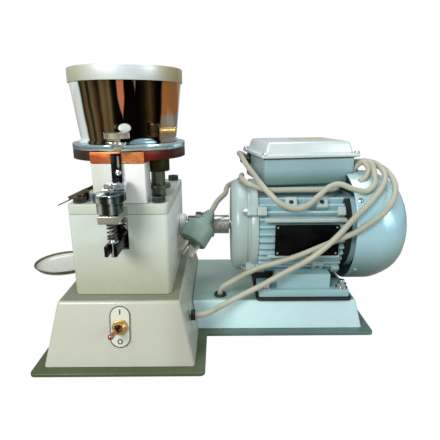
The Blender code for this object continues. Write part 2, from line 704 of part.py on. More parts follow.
def make_drive():
    axis = (0, AXIS_Y, AXIS_Z)
    worm = [(0, 70), (6, 70), (6, 26), (7.2, 24), (7.2, -16), (6, -18), (6, -45.4), (0, -45.4)]
    worm_shaft = turned("worm_shaft", worm, axis, "bare_steel", "X", SMALL)
    hub_r, flange_r, bore = 11.2, 16.0, 6.3
    case_half = [(flange_r, 71), (flange_r, 64.5), (hub_r, 64.5), (hub_r, 54.5), (bore, 54.5), (bore, 71)]
    near = turned("coupling_case_half", case_half, axis, "black_steel", "X", MEDIUM, ring=True)
    spider = sheet("coupling_disc", [gear(15.4, 1.2, 6)], 71.3, 77.7, "red_rubber", axis, TURNS["X"])
    motor_half = [(hub_r + 0.4, 106), (hub_r + 0.4, 88), (flange_r, 86.5), (flange_r, 78), (5.9, 78), (5.9, 106)]
    far = turned("coupling_motor_half", motor_half, axis, "bare_steel", "X", MEDIUM, ring=True)
    motor = [(0, 296), (5.5, 296), (5.5, 224), (30, 224), (30, 150), (5.5, 150), (5.5, 79), (0, 79)]
    motor_shaft = turned("motor_shaft", motor, axis, "bare_steel", "X", SMALL)
    fan_hub = tube("cooling_fan", 13, 5.9, 24, (264, AXIS_Y, AXIS_Z), "rubber", "X", SMALL)
    for i in range(6):
        blade = block(f"fan_blade_{i}", (264, -1.2, 12), (286, 1.2, 54), None, (0, 0, 0), axis)
        blade.rotation_euler.x = math.pi / 3 * i
        join(fan_hub, blade)
    body("drive_line", axis, worm_shaft, near, spider, far, motor_shaft, fan_hub)

    cam_axis = (CAM_X, 0, CAM_Z)
    shaft = rod("cam_shaft", 5.0, CASE_BACK + 44.5, (CAM_X, -43.5, CAM_Z), "bare_steel", "Y", SMALL)
    punch_cam = rod("punch_cam", 7.0, 8, (CAM_X, -41, CAM_Z + 2.5), axis="Y", sides=SMALL)
    cross_gear = sheet("cross_gear", [gear(17.2, 1.1, 20)], -21, -9, None, cam_axis, TURNS["Y"])
    lever_cam = rod("lever_cam", 9.0, 8, (CAM_X, 0, CAM_Z - 2.5), axis="Y", sides=SMALL)
    join(shaft, punch_cam, cross_gear, lever_cam)
    wheel_outlines = [gear(18.3, 1.2, 30), circle(5.4, SMALL)]
    wheel = sheet("worm_wheel", wheel_outlines, 46, 64, "bronze", cam_axis, TURNS["Y"])
    body("cam_train", cam_axis, shaft, wheel)


def make_motor():
    axis = (0, AXIS_Y, AXIS_Z)
    shield = [
        (SHIELD_R - 6, 108.3),
        (SHIELD_R - 1, 113),
        (SHIELD_R, 117),
        (SHIELD_R, 126),
        (SHIELD_R - 1.5, 126.6),
        (SHIELD_R - 1.5, 130),
        (SHIELD_R + 1, 130.6),
        (SHIELD_R + 1, HOUSING_LEFT - GAP),
        (44, HOUSING_LEFT - GAP),
        (44, 128),
        (7.5, 128),
        (7.5, 112),
        (20, 112),
        (22, 108.3),
    ]
    turned("end_shield", shield[::-1], axis, "motor_paint", "X", LARGE, ring=True)

    fins = 44
    outline = gear(FIN_R, FIN_R - CORE_R, fins)
    housing = sheet("motor_housing", [outline], HOUSING_LEFT, HOUSING_RIGHT, "motor_paint", axis, TURNS["X"])
    foot_left, foot_right = HOUSING_LEFT, 242.7
    mat_high = PLATFORM_TOP + GAP + 3.0
    foot_low = mat_high + GAP
    for side in (-1, 1):
        pad_y = sorted((AXIS_Y + side * 64.5, AXIS_Y + side * 29))
        block_y = sorted((AXIS_Y + side * 58, AXIS_Y + side * 24))
        join(
            housing,
            block(f"foot_pad_{side}", (foot_left, pad_y[0], foot_low), (foot_right, pad_y[1], 49)),
            block(f"foot_block_{side}", (160, block_y[0], 47), (222, block_y[1], 66)),
        )
    join(housing, rod("rear_ring", 51.5, 22, (230, AXIS_Y, AXIS_Z), axis="X", sides=LARGE))
    cut(
        housing,
        rod("rotor_bore", 38, HOUSING_RIGHT - 7 - 130, (130, AXIS_Y, AXIS_Z), axis="X"),
        rod("rear_bore", 7.0, 40, (HOUSING_RIGHT - 20, AXIS_Y, AXIS_Z), axis="X", sides=SMALL),
        block("terminal_flat", (138, 14, 150.2), (254, 92, 180)),
    )

    mat_box = rectangle(foot_left - 3, -12.5, foot_right + 3, 122.5, 5.0)
    sheet("motor_mat", [mat_box], PLATFORM_TOP + GAP, mat_high, "rubber")

    wall = 1.6
    outer = [(0, COVER_RIGHT), (40, 311.5), (48, 308), (55, 301.5), (61, 292), (65.5, 281)]
    outer += [(COVER_R, 274), (COVER_R, COVER_LEFT)]
    inner = [(COVER_R - wall, COVER_LEFT), (COVER_R - wall, 273.8), (64, 280.4), (59.6, 291), (53.8, 300.3)]
    inner += [(47.2, 306.6), (39.7, 309.9), (0, COVER_RIGHT - wall)]
    cover = turned("fan_cover", outer + inner, axis, "motor_paint", "X", LARGE)
    slots = 8
    for i in range(slots):
        angle = 2 * math.pi * i / slots
        hole_at = (COVER_RIGHT - 10, AXIS_Y + 27 * math.cos(angle), AXIS_Z + 27 * math.sin(angle))
        cut(cover, rod(f"air_hole_{i}", 6.5, 20, hole_at, axis="X", sides=12))

    front = AXIS_Y - FIN_R
    block("nameplate", (156, front - 2.6, 90), (227.5, front - 0.4, 126), "black_steel")


def make_terminal_box():
    corner, turn, none = BOX_CORNER, BOX_TURN, (0, 0, 0)
    case = block("terminal_box", (0, 0, BOX_LOW), (110, 93, BOX_HIGH), "motor_paint", none, corner, turn)
    soften(case, 2.0)
    join(case, block("terminal_neck", (158, 42, 150.6), (228, 86, BOX_LOW + 2)))
    cut(
        case,
        block("terminal_inside", (3, 3, 178), (107, 90, BOX_HIGH + 5), None, none, corner, turn),
        rod("cover_clearance", COVER_R + 1, 30, (COVER_LEFT - 0.6, AXIS_Y, AXIS_Z), axis="X", sides=LARGE),
    )

    high = BOX_HIGH
    lid = block("terminal_lid", (-4, -4, high + GAP), (114, 97, high + 4.4), "motor_paint", none, corner, turn)
    crown = leaning_block(
        "lid_crown", (1, 2, 109, 91), high + 3, (5, 6, 105, 87), high + 17.7, (), None, corner, turn
    )
    soften(lid, 1.2)
    join(lid, soften(crown, 3.0))
    cut(lid, block("lid_inside", (8, 9, high - 3), (102, 84, high + 14), None, none, corner, turn))


# ---------------------------------------------------------------- wiring


def make_wiring():
    paths = {
        "terminal_cable": [
            (131.4, 98, 187.2), (125, 95, 193), (120, 84, 196), (121, 70, 195), (126, 52, 187), (134, 35, 177),
            (144, 13, 165), (152, 5, 157), (160, 0, 150), (175, -4, 144), (189, -3, 146), (203, 2, 156), (216, 6, 166),
            (228, 6, 169), (242, 4, 164), (257, 5, 161), (268, 12, 168), (272, 24, 176), (272, 35, 187),
            (266, 46, 190), (261, 56, 184), (254.4, 61, 181),
        ],
        "supply_cable": [
            (251.9, 76, 181), (262, 70, 186), (277, 46, 188), (284, 30, 180), (281, 16, 171), (270, 3, 160),
            (254, -9, 148), (238, -15, 134), (222, -18.5, 117), (205, -20, 101), (188, -20, 88), (166, -19, 75),
            (141, -19, 60), (117, -19, 47), (97, -26, 39), (85, -37, 38), (76, -43.5, 38), (69, -45, 38),
            (57, -45, 38),
        ],
        "platform_cable": [
            (249.4, 92, 181), (265, 83, 185), (283, 60, 183), (290, 40, 180), (292, 15, 168), (284, -4, 154),
            (271, -12.5, 140), (255, -15.5, 129), (240, -15.5, 119), (222, -13, 110), (203, -11.5, 101),
            (182, -11.5, 92), (161, -10, 84), (140, -8, 77), (124, -5, 68), (108, 0, 56), (97, 3.5, 47),
            (94.5, 4.5, 40), (94.5, 4.5, 30),
        ],
        "mains_lead": [
            (84.5, 35.5, 131.6), (87, 38.5, 135.2), (92, 46, 142), (101, 60, 148), (103, 76, 149), (104, 90, 150),
            (107, 99, 152), (113, 105, 154), (120, 100, 158), (123, 88, 164), (123, 75, 168.5), (122, 62, 171),
            (121, 50, 170.8), (122, 40, 169), (127, 31, 166.3), (136, 26, 163.5), (145, 23.5, 160.6),
            (156, 24, 159.5), (170, 25, 159.4), (190, 26, 159.4), (210, 26, 159.4), (222, 27, 159.4),
            (230, 31, 159.4), (234, 37, 159.4), (232.4, 46, 159.4),
        ],
    }
    for name, path in paths.items():
        wire(name, smooth_path(path), CABLE_R, "cable_grey")

    tip, face = Vector((84.2, 35.2, 131.2)), Vector((62.2, 13.0, 101.2))
    aim = face - tip
    length = aim.length
    turn = [math.degrees(angle) for angle in aim.to_track_quat("Z", "Y").to_euler()]
    shape = [(0, length), (16.2, length), (16.7, length - 0.6), (16.7, length - 22), (15.6, length - 24)]
    shape += [(9.5, length - 27.5), (8.3, length - 28.5), (5.6, 0), (0, 0)]
    turned("plug_body", shape, tip, "plug_green", turn=turn)
    insert = rod("plug_pins", 12.0, 1.5, face + aim.normalized() * GAP, "bare_steel", turn=turn)
    pins = ((0, 8.0, 0), (-6.9, -4.0, 30), (6.9, -4.0, -30))
    for i, (x, y, twist) in enumerate(pins):
        pin = block(f"plug_pin_{i}", (-3.2, -0.8, 1), (3.2, 0.8, 17), None, (0, 0, 0), face, turn)
        pin.data.transform(Matrix.Rotation(math.radians(twist), 4, "Z"))
        pin.data.transform(Matrix.Translation(Vector((x, y, 0)) * MM))
        join(insert, pin)


def shade_round_pieces():
    for obj in PARTS.objects:
        if obj.type == "MESH":
            obj.data.shade_smooth()
            obj.data.set_sharp_from_angle(angle=math.radians(35))


clear_scene()
PARTS = make_collection("tablet_press")
CUTTERS = make_collection("cutters")
FINISH = {name: make_finish(name) for name in FINISHES}
make_base()
make_switch()
make_case()
make_column()
make_head()
make_hopper()
make_adjuster()
make_lift()
make_lever()
make_outlet()
make_drive()
make_motor()
make_terminal_box()
make_wiring()
shade_round_pieces()
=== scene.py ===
"""The looks of the tablet press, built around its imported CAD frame. Blender 4.5.

Sizes are in millimetres here and the helpers convert them to Blender's metres. +Z is up, +X runs
from the gear case to the motor and +Y is the back, as in the frame. Every piece's mesh is stored
in the row frame, so its object sits at the origin.
"""

import math

import bmesh
import bpy
from mathutils import Matrix, Vector


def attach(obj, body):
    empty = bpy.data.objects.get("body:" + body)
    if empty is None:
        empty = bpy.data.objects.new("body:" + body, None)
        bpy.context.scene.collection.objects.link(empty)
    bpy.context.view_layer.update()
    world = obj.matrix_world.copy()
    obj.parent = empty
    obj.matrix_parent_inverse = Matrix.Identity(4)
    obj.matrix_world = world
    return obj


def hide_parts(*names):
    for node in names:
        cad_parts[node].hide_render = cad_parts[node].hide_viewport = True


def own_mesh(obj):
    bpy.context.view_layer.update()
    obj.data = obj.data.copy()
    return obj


MM = 0.001
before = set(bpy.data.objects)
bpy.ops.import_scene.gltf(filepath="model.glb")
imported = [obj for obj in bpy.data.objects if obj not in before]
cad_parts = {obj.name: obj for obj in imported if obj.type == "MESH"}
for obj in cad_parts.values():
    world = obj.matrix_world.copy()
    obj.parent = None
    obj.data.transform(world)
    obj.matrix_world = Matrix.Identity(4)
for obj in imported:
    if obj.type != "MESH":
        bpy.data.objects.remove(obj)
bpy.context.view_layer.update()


# ---------------------------------------------------------------- materials


class Finish:
    """A node material, with short ways to add and link nodes."""

    def __init__(self, name):
        self.material = bpy.data.materials.new(name)
        self.material.use_nodes = True
        self.tree = self.material.node_tree
        self.shader = self.tree.nodes["Principled BSDF"]
        self.place = self.add("ShaderNodeTexCoord").outputs["Object"]

    def fill(self, socket, value):
        if isinstance(value, bpy.types.NodeSocket):
            self.tree.links.new(value, socket)
        elif socket.type == "RGBA" and len(value) == 3:
            socket.default_value = (*value, 1.0)
        else:
            socket.default_value = value

    def add(self, kind, inputs=(), **settings):
        node = self.tree.nodes.new(kind)
        for key, value in settings.items():
            setattr(node, key, value)
        for key, value in dict(inputs).items():
            self.fill(node.inputs[key], value)
        return node

    def set(self, **inputs):
        for key, value in inputs.items():
            self.fill(self.shader.inputs[key.replace("_", " ").title().replace("Ior", "IOR")], value)
        return self

    def stretch(self, x, y, z):
        """The object's coordinates, stretched, so that a pattern runs along one axis."""
        return self.add("ShaderNodeVectorMath", {0: self.place, 1: (x, y, z)}, operation="MULTIPLY").outputs[0]

    def noise(self, scale, detail=3.0, vector=None, rough=0.55):
        node = self.add(
            "ShaderNodeTexNoise",
            {"Vector": vector or self.place, "Scale": scale, "Detail": detail, "Roughness": rough},
        )
        return node.outputs["Fac"]

    def spread(self, value, low, high, to_low=0.0, to_high=1.0):
        node = self.add(
            "ShaderNodeMapRange",
            {"Value": value, "From Min": low, "From Max": high, "To Min": to_low, "To Max": to_high},
            interpolation_type="SMOOTHSTEP",
        )
        return node.outputs["Result"]

    def math(self, operation, a, b=0.0):
        return self.add("ShaderNodeMath", {0: a, 1: b}, operation=operation).outputs[0]

    def mix(self, share, a, b, mode="MIX"):
        node = self.add("ShaderNodeMix", data_type="RGBA", blend_type=mode)
        self.fill(node.inputs[0], share)
        self.fill(node.inputs[6], a)
        self.fill(node.inputs[7], b)
        return node.outputs[2]

    def ramp(self, value, stops, interpolation="LINEAR"):
        node = self.add("ShaderNodeValToRGB", {"Fac": value})
        band = node.color_ramp
        band.interpolation = interpolation
        while len(band.elements) > 1:
            band.elements.remove(band.elements[-1])
        for i, (position, colour) in enumerate(stops):
            element = band.elements[0] if i == 0 else band.elements.new(position)
            element.position = position
            element.color = (*colour, 1.0)
        return node.outputs["Color"]

    def bump(self, height, depth, strength=1.0):
        node = self.add("ShaderNodeBump", {"Height": height, "Distance": depth * MM, "Strength": strength})
        self.fill(self.shader.inputs["Normal"], node.outputs["Normal"])
        return self

    def axis(self, name):
        return self.add("ShaderNodeSeparateXYZ", {0: self.place}).outputs[name]


FINISH = {}


def paint(name, light, dark, roughness=0.32, grain=0.05, metallic=0.0, coat=0.25, painted_light_fades=()):
    """Sprayed paint: patches of slightly different tone, a fine orange-peel bump and a few dull spots.

    Each fade is painted light and shade, (axis, from, to, colour): the paint turns to that colour, in metres along
    the axis.
    """
    f = Finish(name)
    patches = f.spread(f.noise(9.0, 4.0), 0.35, 0.68)
    fine = f.noise(420.0, 2.0)
    colour = f.mix(patches, light, dark)
    # Painted light and shade: each fade lightens or darkens the paint along one axis.
    for axis, low, high, tone in painted_light_fades:
        colour = f.mix(f.spread(f.axis(axis), low, high), colour, tone, "MULTIPLY")
    colour = f.mix(f.spread(fine, 0.55, 0.8, 0.0, 0.25), colour, tuple(c * 0.8 for c in dark))
    dull = f.spread(f.noise(35.0, 5.0), 0.3, 0.75, roughness - 0.06, roughness + 0.12)
    f.set(base_color=colour, roughness=dull, metallic=metallic, coat_weight=coat, coat_roughness=0.2)
    f.bump(f.noise(900.0, 2.0), grain)
    FINISH[name] = f.material
    return f


def metal(name, light, dark, roughness, brushed=None, spots=0.12, grain=0.02):
    """Bare or plated metal. brushed stretches the grain, so that its scratches run along one axis."""
    f = Finish(name)
    vector = f.stretch(*brushed) if brushed else f.place
    lines = f.noise(600.0 if brushed else 60.0, 4.0, vector)
    colour = f.mix(f.spread(lines, 0.3, 0.7), dark, light)
    stains = f.spread(f.noise(40.0, 5.0), 0.62, 0.8, 0.0, spots)
    colour = f.mix(stains, colour, tuple(c * 0.35 for c in dark))
    uneven = f.spread(lines, 0.3, 0.7, roughness * 0.75, roughness * 1.35)
    f.set(base_color=colour, roughness=uneven, metallic=1.0)
    f.bump(lines, grain)
    FINISH[name] = f.material
    return f


def plastic(name, light, dark, roughness, grain=0.04, scale=700.0):
    f = Finish(name)
    patches = f.spread(f.noise(25.0, 4.0), 0.35, 0.65)
    colour = f.mix(patches, light, dark)
    dust = f.spread(f.noise(160.0, 4.0), 0.58, 0.8, 0.0, 0.2)
    colour = f.mix(dust, colour, tuple(min(1.0, c * 1.4 + 0.02) for c in light))
    uneven = f.spread(f.noise(60.0, 4.0), 0.3, 0.7, roughness - 0.07, roughness + 0.1)
    f.set(base_color=colour, roughness=uneven)
    f.bump(f.noise(scale, 2.0), grain)
    FINISH[name] = f.material
    return f


def mirror_hopper():
    """Mirror-polished steel with painted reflections: the soft upright bands that a room leaves in it are painted
    into its colour at fixed places round the hopper.
    """
    f = Finish("mirror_hopper")
    around = f.add("ShaderNodeMath", {0: f.axis("X"), 1: f.axis("Y")}, operation="ARCTAN2").outputs[0]
    turn = f.math("FRACT", f.math("ADD", f.math("DIVIDE", around, 2 * math.pi), 1.0))
    wobble = f.math("MULTIPLY", f.math("SUBTRACT", f.noise(26.0, 2.0), 0.5), 0.016)
    front = f.math("ADD", f.math("SUBTRACT", 1.0, turn), wobble)  # 0.5 at the front, more towards +X
    height = f.axis("Z")
    silver, pale, black = (0.84, 0.93, 0.93), (0.94, 0.98, 0.97), (0.003, 0.002, 0.001)
    dark, brown, olive = (0.016, 0.009, 0.003), (0.085, 0.042, 0.012), (0.12, 0.088, 0.034)
    reflected_red, orange = (0.52, 0.17, 0.08), (0.58, 0.20, 0.05)
    # Painted reflections round the hopper: silver, pale, dark, brown, olive and orange bands.
    stops = [
        (0.0, (0.60, 0.64, 0.65)), (0.10, (0.35, 0.36, 0.34)), (0.18, (0.72, 0.76, 0.76)), (0.26, silver),
        (0.30, pale), (0.365, pale), (0.386, silver), (0.394, dark), (0.402, brown),
        (0.414, olive), (0.424, dark), (0.434, olive), (0.446, brown), (0.456, dark), (0.466, olive),
        (0.478, brown), (0.486, olive), (0.493, dark), (0.499, black), (0.565, black), (0.580, dark),
        (0.597, brown), (0.612, dark), (0.620, black), (0.632, black), (0.638, orange),
        (0.690, (0.48, 0.19, 0.055)), (0.728, orange), (0.740, pale), (0.765, silver),
        (0.86, (0.32, 0.31, 0.28)),
    ]
    colour = f.ramp(front, stops)
    # Two painted reflection bands hang down from the lid and end in a soft tip.
    for centre, half, tip, tone in ((0.518, 0.011, 0.236, reflected_red), (0.556, 0.006, 0.256, (0.26, 0.13, 0.10))):
        off = f.math("ABSOLUTE", f.math("SUBTRACT", front, centre))
        inside = f.math("SUBTRACT", f.spread(height, tip, tip + 0.026, 0.0, half), off)
        colour = f.mix(f.spread(inside, 0.0, 0.004), colour, tone)
    # Painted reflection: low down, the orange reflected band turns dull olive.
    right = f.math("MULTIPLY", f.spread(front, 0.634, 0.64), f.spread(front, 0.730, 0.742, 1.0, 0.0))
    right = f.math("MULTIPLY", right, f.spread(height, 0.241, 0.247, 1.0, 0.0))
    colour = f.mix(f.math("MULTIPLY", right, 0.8), colour, (0.34, 0.32, 0.26))
    # Painted reflections: a window's pale spot above the knob, and the pale shape of the ring reflected at the foot.
    for x, z, wide, tall, tone in (
        (0.520, 0.2330, 0.018, 0.0042, (0.90, 0.94, 0.94)), (0.575, 0.2180, 0.046, 0.0052, (0.40, 0.56, 0.64)),
    ):
        across = f.math("DIVIDE", f.math("SUBTRACT", front, x), wide)
        up = f.math("DIVIDE", f.math("SUBTRACT", height, z), tall)
        spot = f.math("ADD", f.math("MULTIPLY", across, across), f.math("MULTIPLY", up, up))
        colour = f.mix(f.spread(spot, 0.7, 1.1, 1.0, 0.0), colour, tone)
    scratches = f.noise(500.0, 3.0, f.stretch(1.0, 1.0, 14.0))
    light = f.add("ShaderNodeRGBToBW", {0: colour}).outputs[0]
    behind = f.spread(f.math("ABSOLUTE", f.math("SUBTRACT", front, 0.5)), 0.24, 0.29, 0.0, 0.85)
    metallic = f.math("MAXIMUM", f.spread(light, 0.0, 0.09, 0.97, 0.3), behind)
    f.set(base_color=colour, metallic=metallic, roughness=f.spread(scratches, 0.3, 0.75, 0.06, 0.12))
    FINISH["mirror_hopper"] = f.material


def turned_lid():
    """Aluminium turned on a lathe: fine rings on the top, fine level lines round the rim."""
    f = Finish("turned_lid")
    x, y, z = f.axis("X"), f.axis("Y"), f.axis("Z")
    radius = f.math("SQRT", f.math("ADD", f.math("MULTIPLY", x, x), f.math("MULTIPLY", y, y)))
    rings = f.add("ShaderNodeCombineXYZ", {0: radius, 1: 0.0, 2: z}).outputs[0]
    lines = f.noise(1500.0, 4.0, rings)
    around = f.math("DIVIDE", f.add("ShaderNodeMath", {0: y, 1: x}, operation="ARCTAN2").outputs[0], 2 * math.pi)
    sheen = f.math("FRACT", f.math("ADD", around, 1.25))  # the front is 0.0, and X is 0.25
    # Painted reflections: the rim's colour changes with direction round the lid, bluish at the front, brown towards
    # +X and olive towards -X.
    tone = f.ramp(
        sheen,
        [
            (0.0, (0.86, 0.95, 1.0)), (0.05, (0.84, 0.93, 0.98)), (0.10, (0.80, 0.82, 0.78)),
            (0.16, (0.62, 0.48, 0.26)), (0.20, (0.50, 0.35, 0.15)), (0.25, (0.60, 0.54, 0.40)),
            (0.5, (0.78, 0.80, 0.80)), (0.76, (0.74, 0.78, 0.72)), (0.84, (0.52, 0.55, 0.42)),
            (0.89, (0.58, 0.58, 0.40)), (0.94, (0.70, 0.75, 0.70)), (1.0, (0.86, 0.92, 0.93)),
        ],
    )
    colour = f.mix(f.spread(lines, 0.35, 0.65, 0.0, 0.3), tone, (0.52, 0.55, 0.54))
    f.set(base_color=colour, metallic=0.3, roughness=f.spread(lines, 0.3, 0.7, 0.3, 0.46))
    f.bump(lines, 0.03)
    FINISH["turned_lid"] = f.material


def cup_chrome():
    """Chrome with painted reflections: the dark blue and bright upright streaks of a small polished cup, set along X.
    """
    f = Finish("cup_chrome")
    dark, blue, bright = (0.03, 0.035, 0.035), (0.16, 0.25, 0.28), (0.88, 0.92, 0.92)
    across = f.math("ADD", f.spread(f.axis("X"), -0.018, 0.012), f.math("MULTIPLY", f.noise(120.0, 3.0), 0.08))
    colour = f.ramp(across, [
        (0.0, dark), (0.12, blue), (0.20, bright), (0.28, bright), (0.34, blue), (0.42, dark), (0.60, dark),
        (0.66, blue), (0.74, bright), (0.80, blue), (0.88, dark), (0.96, blue), (1.0, dark),
    ])
    f.set(base_color=colour, metallic=1.0, roughness=0.09)
    FINISH["cup_chrome"] = f.material


def spun_tray():
    """Pale spun steel with a dull olive rim."""
    f = Finish("tray_steel")
    x, y = f.math("ADD", f.axis("X"), 0.0882), f.math("SUBTRACT", f.axis("Y"), 0.0165)
    radius = f.math("SQRT", f.math("ADD", f.math("MULTIPLY", x, x), f.math("MULTIPLY", y, y)))
    lines = f.noise(900.0, 3.0, f.add("ShaderNodeCombineXYZ", {0: radius}).outputs[0])
    colour = f.mix(f.spread(lines, 0.3, 0.7), (0.74, 0.74, 0.66), (0.84, 0.84, 0.78))
    rim = f.spread(radius, 0.0322, 0.0332)
    f.set(base_color=f.mix(rim, colour, (0.13, 0.12, 0.06)), metallic=0.25, roughness=0.3)
    FINISH["tray_steel"] = f.material


def bronze_plate():
    """Turned bronze, its colour partly painted reflection: bright orange on the flat front block, dark red with
    brighter red bands round the disc, and the block painted darker towards the left.
    """
    f = Finish("bronze_plate")
    x, y = f.axis("X"), f.axis("Y")
    side = f.math("ABSOLUTE", f.math("ADD", x, 0.0005))
    block = f.math("MULTIPLY", f.spread(side, 0.0248, 0.0256, 1.0, 0.0), f.spread(y, -0.0572, -0.0568, 1.0, 0.0))
    lines = f.noise(900.0, 4.0, f.stretch(0.15, 0.15, 1.0))
    orange = f.mix(f.spread(lines, 0.3, 0.7), (0.78, 0.22, 0.055), (0.92, 0.36, 0.13))
    # Painted shade: the orange block darkens towards the left.
    orange = f.mix(f.spread(x, -0.024, 0.012, 1.0, 0.0), orange, (0.60, 0.38, 0.26), "MULTIPLY")
    # Painted reflections: dark and bright red bands across the disc from left to right.
    disc = f.ramp(
        f.spread(x, -0.058, 0.058),
        [
            (0.0, (0.05, 0.045, 0.03)), (0.12, (0.06, 0.03, 0.02)), (0.2, (0.16, 0.045, 0.04)),
            (0.55, (0.12, 0.03, 0.02)), (0.70, (0.012, 0.006, 0.005)), (0.76, (0.36, 0.025, 0.012)),
            (0.88, (0.15, 0.012, 0.004)), (1.0, (0.06, 0.018, 0.008)),
        ],
    )
    f.set(base_color=f.mix(block, disc, orange), metallic=0.55, roughness=f.spread(lines, 0.3, 0.7, 0.24, 0.38))
    f.bump(lines, 0.03)
    FINISH["bronze_plate"] = f.material


def make_finishes():
    # Painted shade: the pedestal's top is darker, and its front darkens towards the right.
    paint("base_paint", (0.57, 0.58, 0.50), (0.53, 0.54, 0.45), painted_light_fades=(
        ("Z", 0.0672, 0.0684, (0.40, 0.43, 0.34)), ("X", 0.03, 0.06, (0.84, 0.83, 0.82))))
    # Partly painted shade: the dark olive is the shade on the strip in front of the pedestal and the teal towards +X
    # the shade in front of the platform, both spread over the whole plate.
    paint("plate_paint", (0.074, 0.104, 0.034), (0.06, 0.085, 0.026), painted_light_fades=(("X", 0.06, 0.12, (1.45, 1.8, 5.2)),))
    # Painted light and shade: the platform's top is darker, its front lighter towards the left, and its back lighter.
    paint("platform_paint", (0.59, 0.77, 0.82), (0.55, 0.73, 0.78), painted_light_fades=(
        ("Z", 0.0352, 0.0364, (0.46, 0.54, 0.46)), ("X", 0.24, 0.12, (1.12, 1.18, 1.14)),
        ("Y", 0.0, 0.03, (1.4, 1.18, 1.15))))
    # Painted light and shade: the case darkens towards its foot, and its right side face is painted lighter.
    paint("case_paint", (0.64, 0.72, 0.66), (0.60, 0.68, 0.61), painted_light_fades=(
        ("Z", 0.135, 0.075, (0.80, 0.74, 0.62)), ("X", 0.0444, 0.0449, (1.45, 1.32, 1.42))))
    paint("case_lid_paint", (0.64, 0.70, 0.62), (0.58, 0.64, 0.56))
    # Painted light: the column's right half is lighter and bluer.
    paint("column_paint", (0.70, 0.72, 0.65), (0.66, 0.68, 0.61), painted_light_fades=(("X", -0.02, 0.0, (1.34, 1.33, 1.45)),))
    paint("motor_paint", (0.39, 0.58, 0.63), (0.30, 0.49, 0.53), 0.34, 0.12)
    paint("shield_paint", (0.41, 0.515, 0.50), (0.34, 0.45, 0.44), 0.3, 0.08)
    # Painted light and shade: the fan cover darkens towards the bottom and carries a painted highlight at the top.
    paint("cover_paint", (0.48, 0.78, 0.90), (0.43, 0.72, 0.84), 0.24, 0.03, 0.3, 0.5, painted_light_fades=(
        ("Z", 0.115, 0.06, (0.44, 0.43, 0.38)), ("Z", 0.135, 0.165, (1.4, 1.16, 1.06))))
    # Painted shade: the terminal box darkens towards its bottom.
    paint("box_paint", (0.305, 0.475, 0.50), (0.26, 0.43, 0.45), 0.3, 0.05, painted_light_fades=(
        ("Z", 0.185, 0.166, (0.42, 0.46, 0.41)),))
    paint("box_lid_paint", (0.72, 0.79, 0.80), (0.66, 0.74, 0.75), 0.3, 0.05, 0.2)
    paint("oval_paint", (0.72, 0.74, 0.66), (0.66, 0.68, 0.60))
    metal("bronze", (0.42, 0.20, 0.10), (0.30, 0.12, 0.06), 0.3)
    metal("boss_bronze", (0.06, 0.048, 0.022), (0.035, 0.028, 0.014), 0.4)
    metal("polished_steel", (0.80, 0.83, 0.82), (0.62, 0.66, 0.64), 0.12)
    metal("chrome", (0.72, 0.76, 0.80), (0.50, 0.54, 0.56), 0.06)
    # Painted reflection: the ring's steel is tinted blue, like the bluish room light reflected in it.
    metal("ring_steel", (0.78, 0.96, 1.0), (0.62, 0.82, 0.90), 0.14)
    metal("dull_steel", (0.22, 0.24, 0.18), (0.12, 0.13, 0.09), 0.3, (1, 1, 8))
    metal("bare_steel", (0.60, 0.60, 0.56), (0.42, 0.42, 0.38), 0.28, (1, 1, 8))
    metal("dark_steel", (0.12, 0.12, 0.11), (0.06, 0.06, 0.055), 0.3)
    metal("black_steel", (0.018, 0.018, 0.02), (0.006, 0.006, 0.007), 0.3)
    metal("nickel", (0.80, 0.76, 0.64), (0.60, 0.55, 0.42), 0.24)
    metal("brass", (0.86, 0.60, 0.26), (0.66, 0.40, 0.14), 0.26, (1, 8, 8))
    metal("copper", (0.60, 0.30, 0.20), (0.42, 0.18, 0.10), 0.25)
    metal("chute_steel", (0.30, 0.26, 0.16), (0.16, 0.13, 0.07), 0.3)
    plastic("rubber", (0.016, 0.016, 0.017), (0.010, 0.010, 0.011), 0.55)
    plastic("black_mark", (0.01, 0.01, 0.012), (0.006, 0.006, 0.007), 0.4)
    metal("nameplate_black", (0.010, 0.010, 0.011), (0.006, 0.006, 0.006), 0.45)
    plastic("red_rubber", (0.20, 0.06, 0.045), (0.12, 0.035, 0.03), 0.45)
    plastic("cable_grey", (0.47, 0.47, 0.38), (0.40, 0.40, 0.32), 0.42, 0.05, 500.0)
    plastic("plug_green", (0.16, 0.27, 0.23), (0.11, 0.20, 0.17), 0.4)
    plastic("plug_pale", (0.30, 0.42, 0.36), (0.24, 0.34, 0.29), 0.42)
    plastic("beige", (0.62, 0.52, 0.36), (0.52, 0.42, 0.28), 0.5)
    plastic("shadow", (0.012, 0.016, 0.016), (0.006, 0.008, 0.008), 0.6)
    cup_chrome()
    mirror_hopper()
    spun_tray()
    turned_lid()
    bronze_plate()


# ---------------------------------------------------------------- shape helpers


def link(name, data, at=(0, 0, 0), turn=(0, 0, 0)):
    obj = bpy.data.objects.new(name, data)
    bpy.context.scene.collection.objects.link(obj)
    obj.location = Vector(at) * MM
    obj.rotation_euler = [math.radians(angle) for angle in turn]
    return obj


def mesh_of(name, form):
    mesh = bpy.data.meshes.new(name)
    form.to_mesh(mesh)
    form.free()
    return mesh


def block(low, high, at=(0, 0, 0), turn=(0, 0, 0)):
    low, high = Vector(low), Vector(high)
    form = bmesh.new()
    bmesh.ops.create_cube(form, size=1.0)
    bmesh.ops.scale(form, vec=(high - low) * MM, verts=form.verts)
    bmesh.ops.translate(form, vec=(low + high) / 2 * MM, verts=form.verts)
    return link("block", mesh_of("block", form), at, turn)


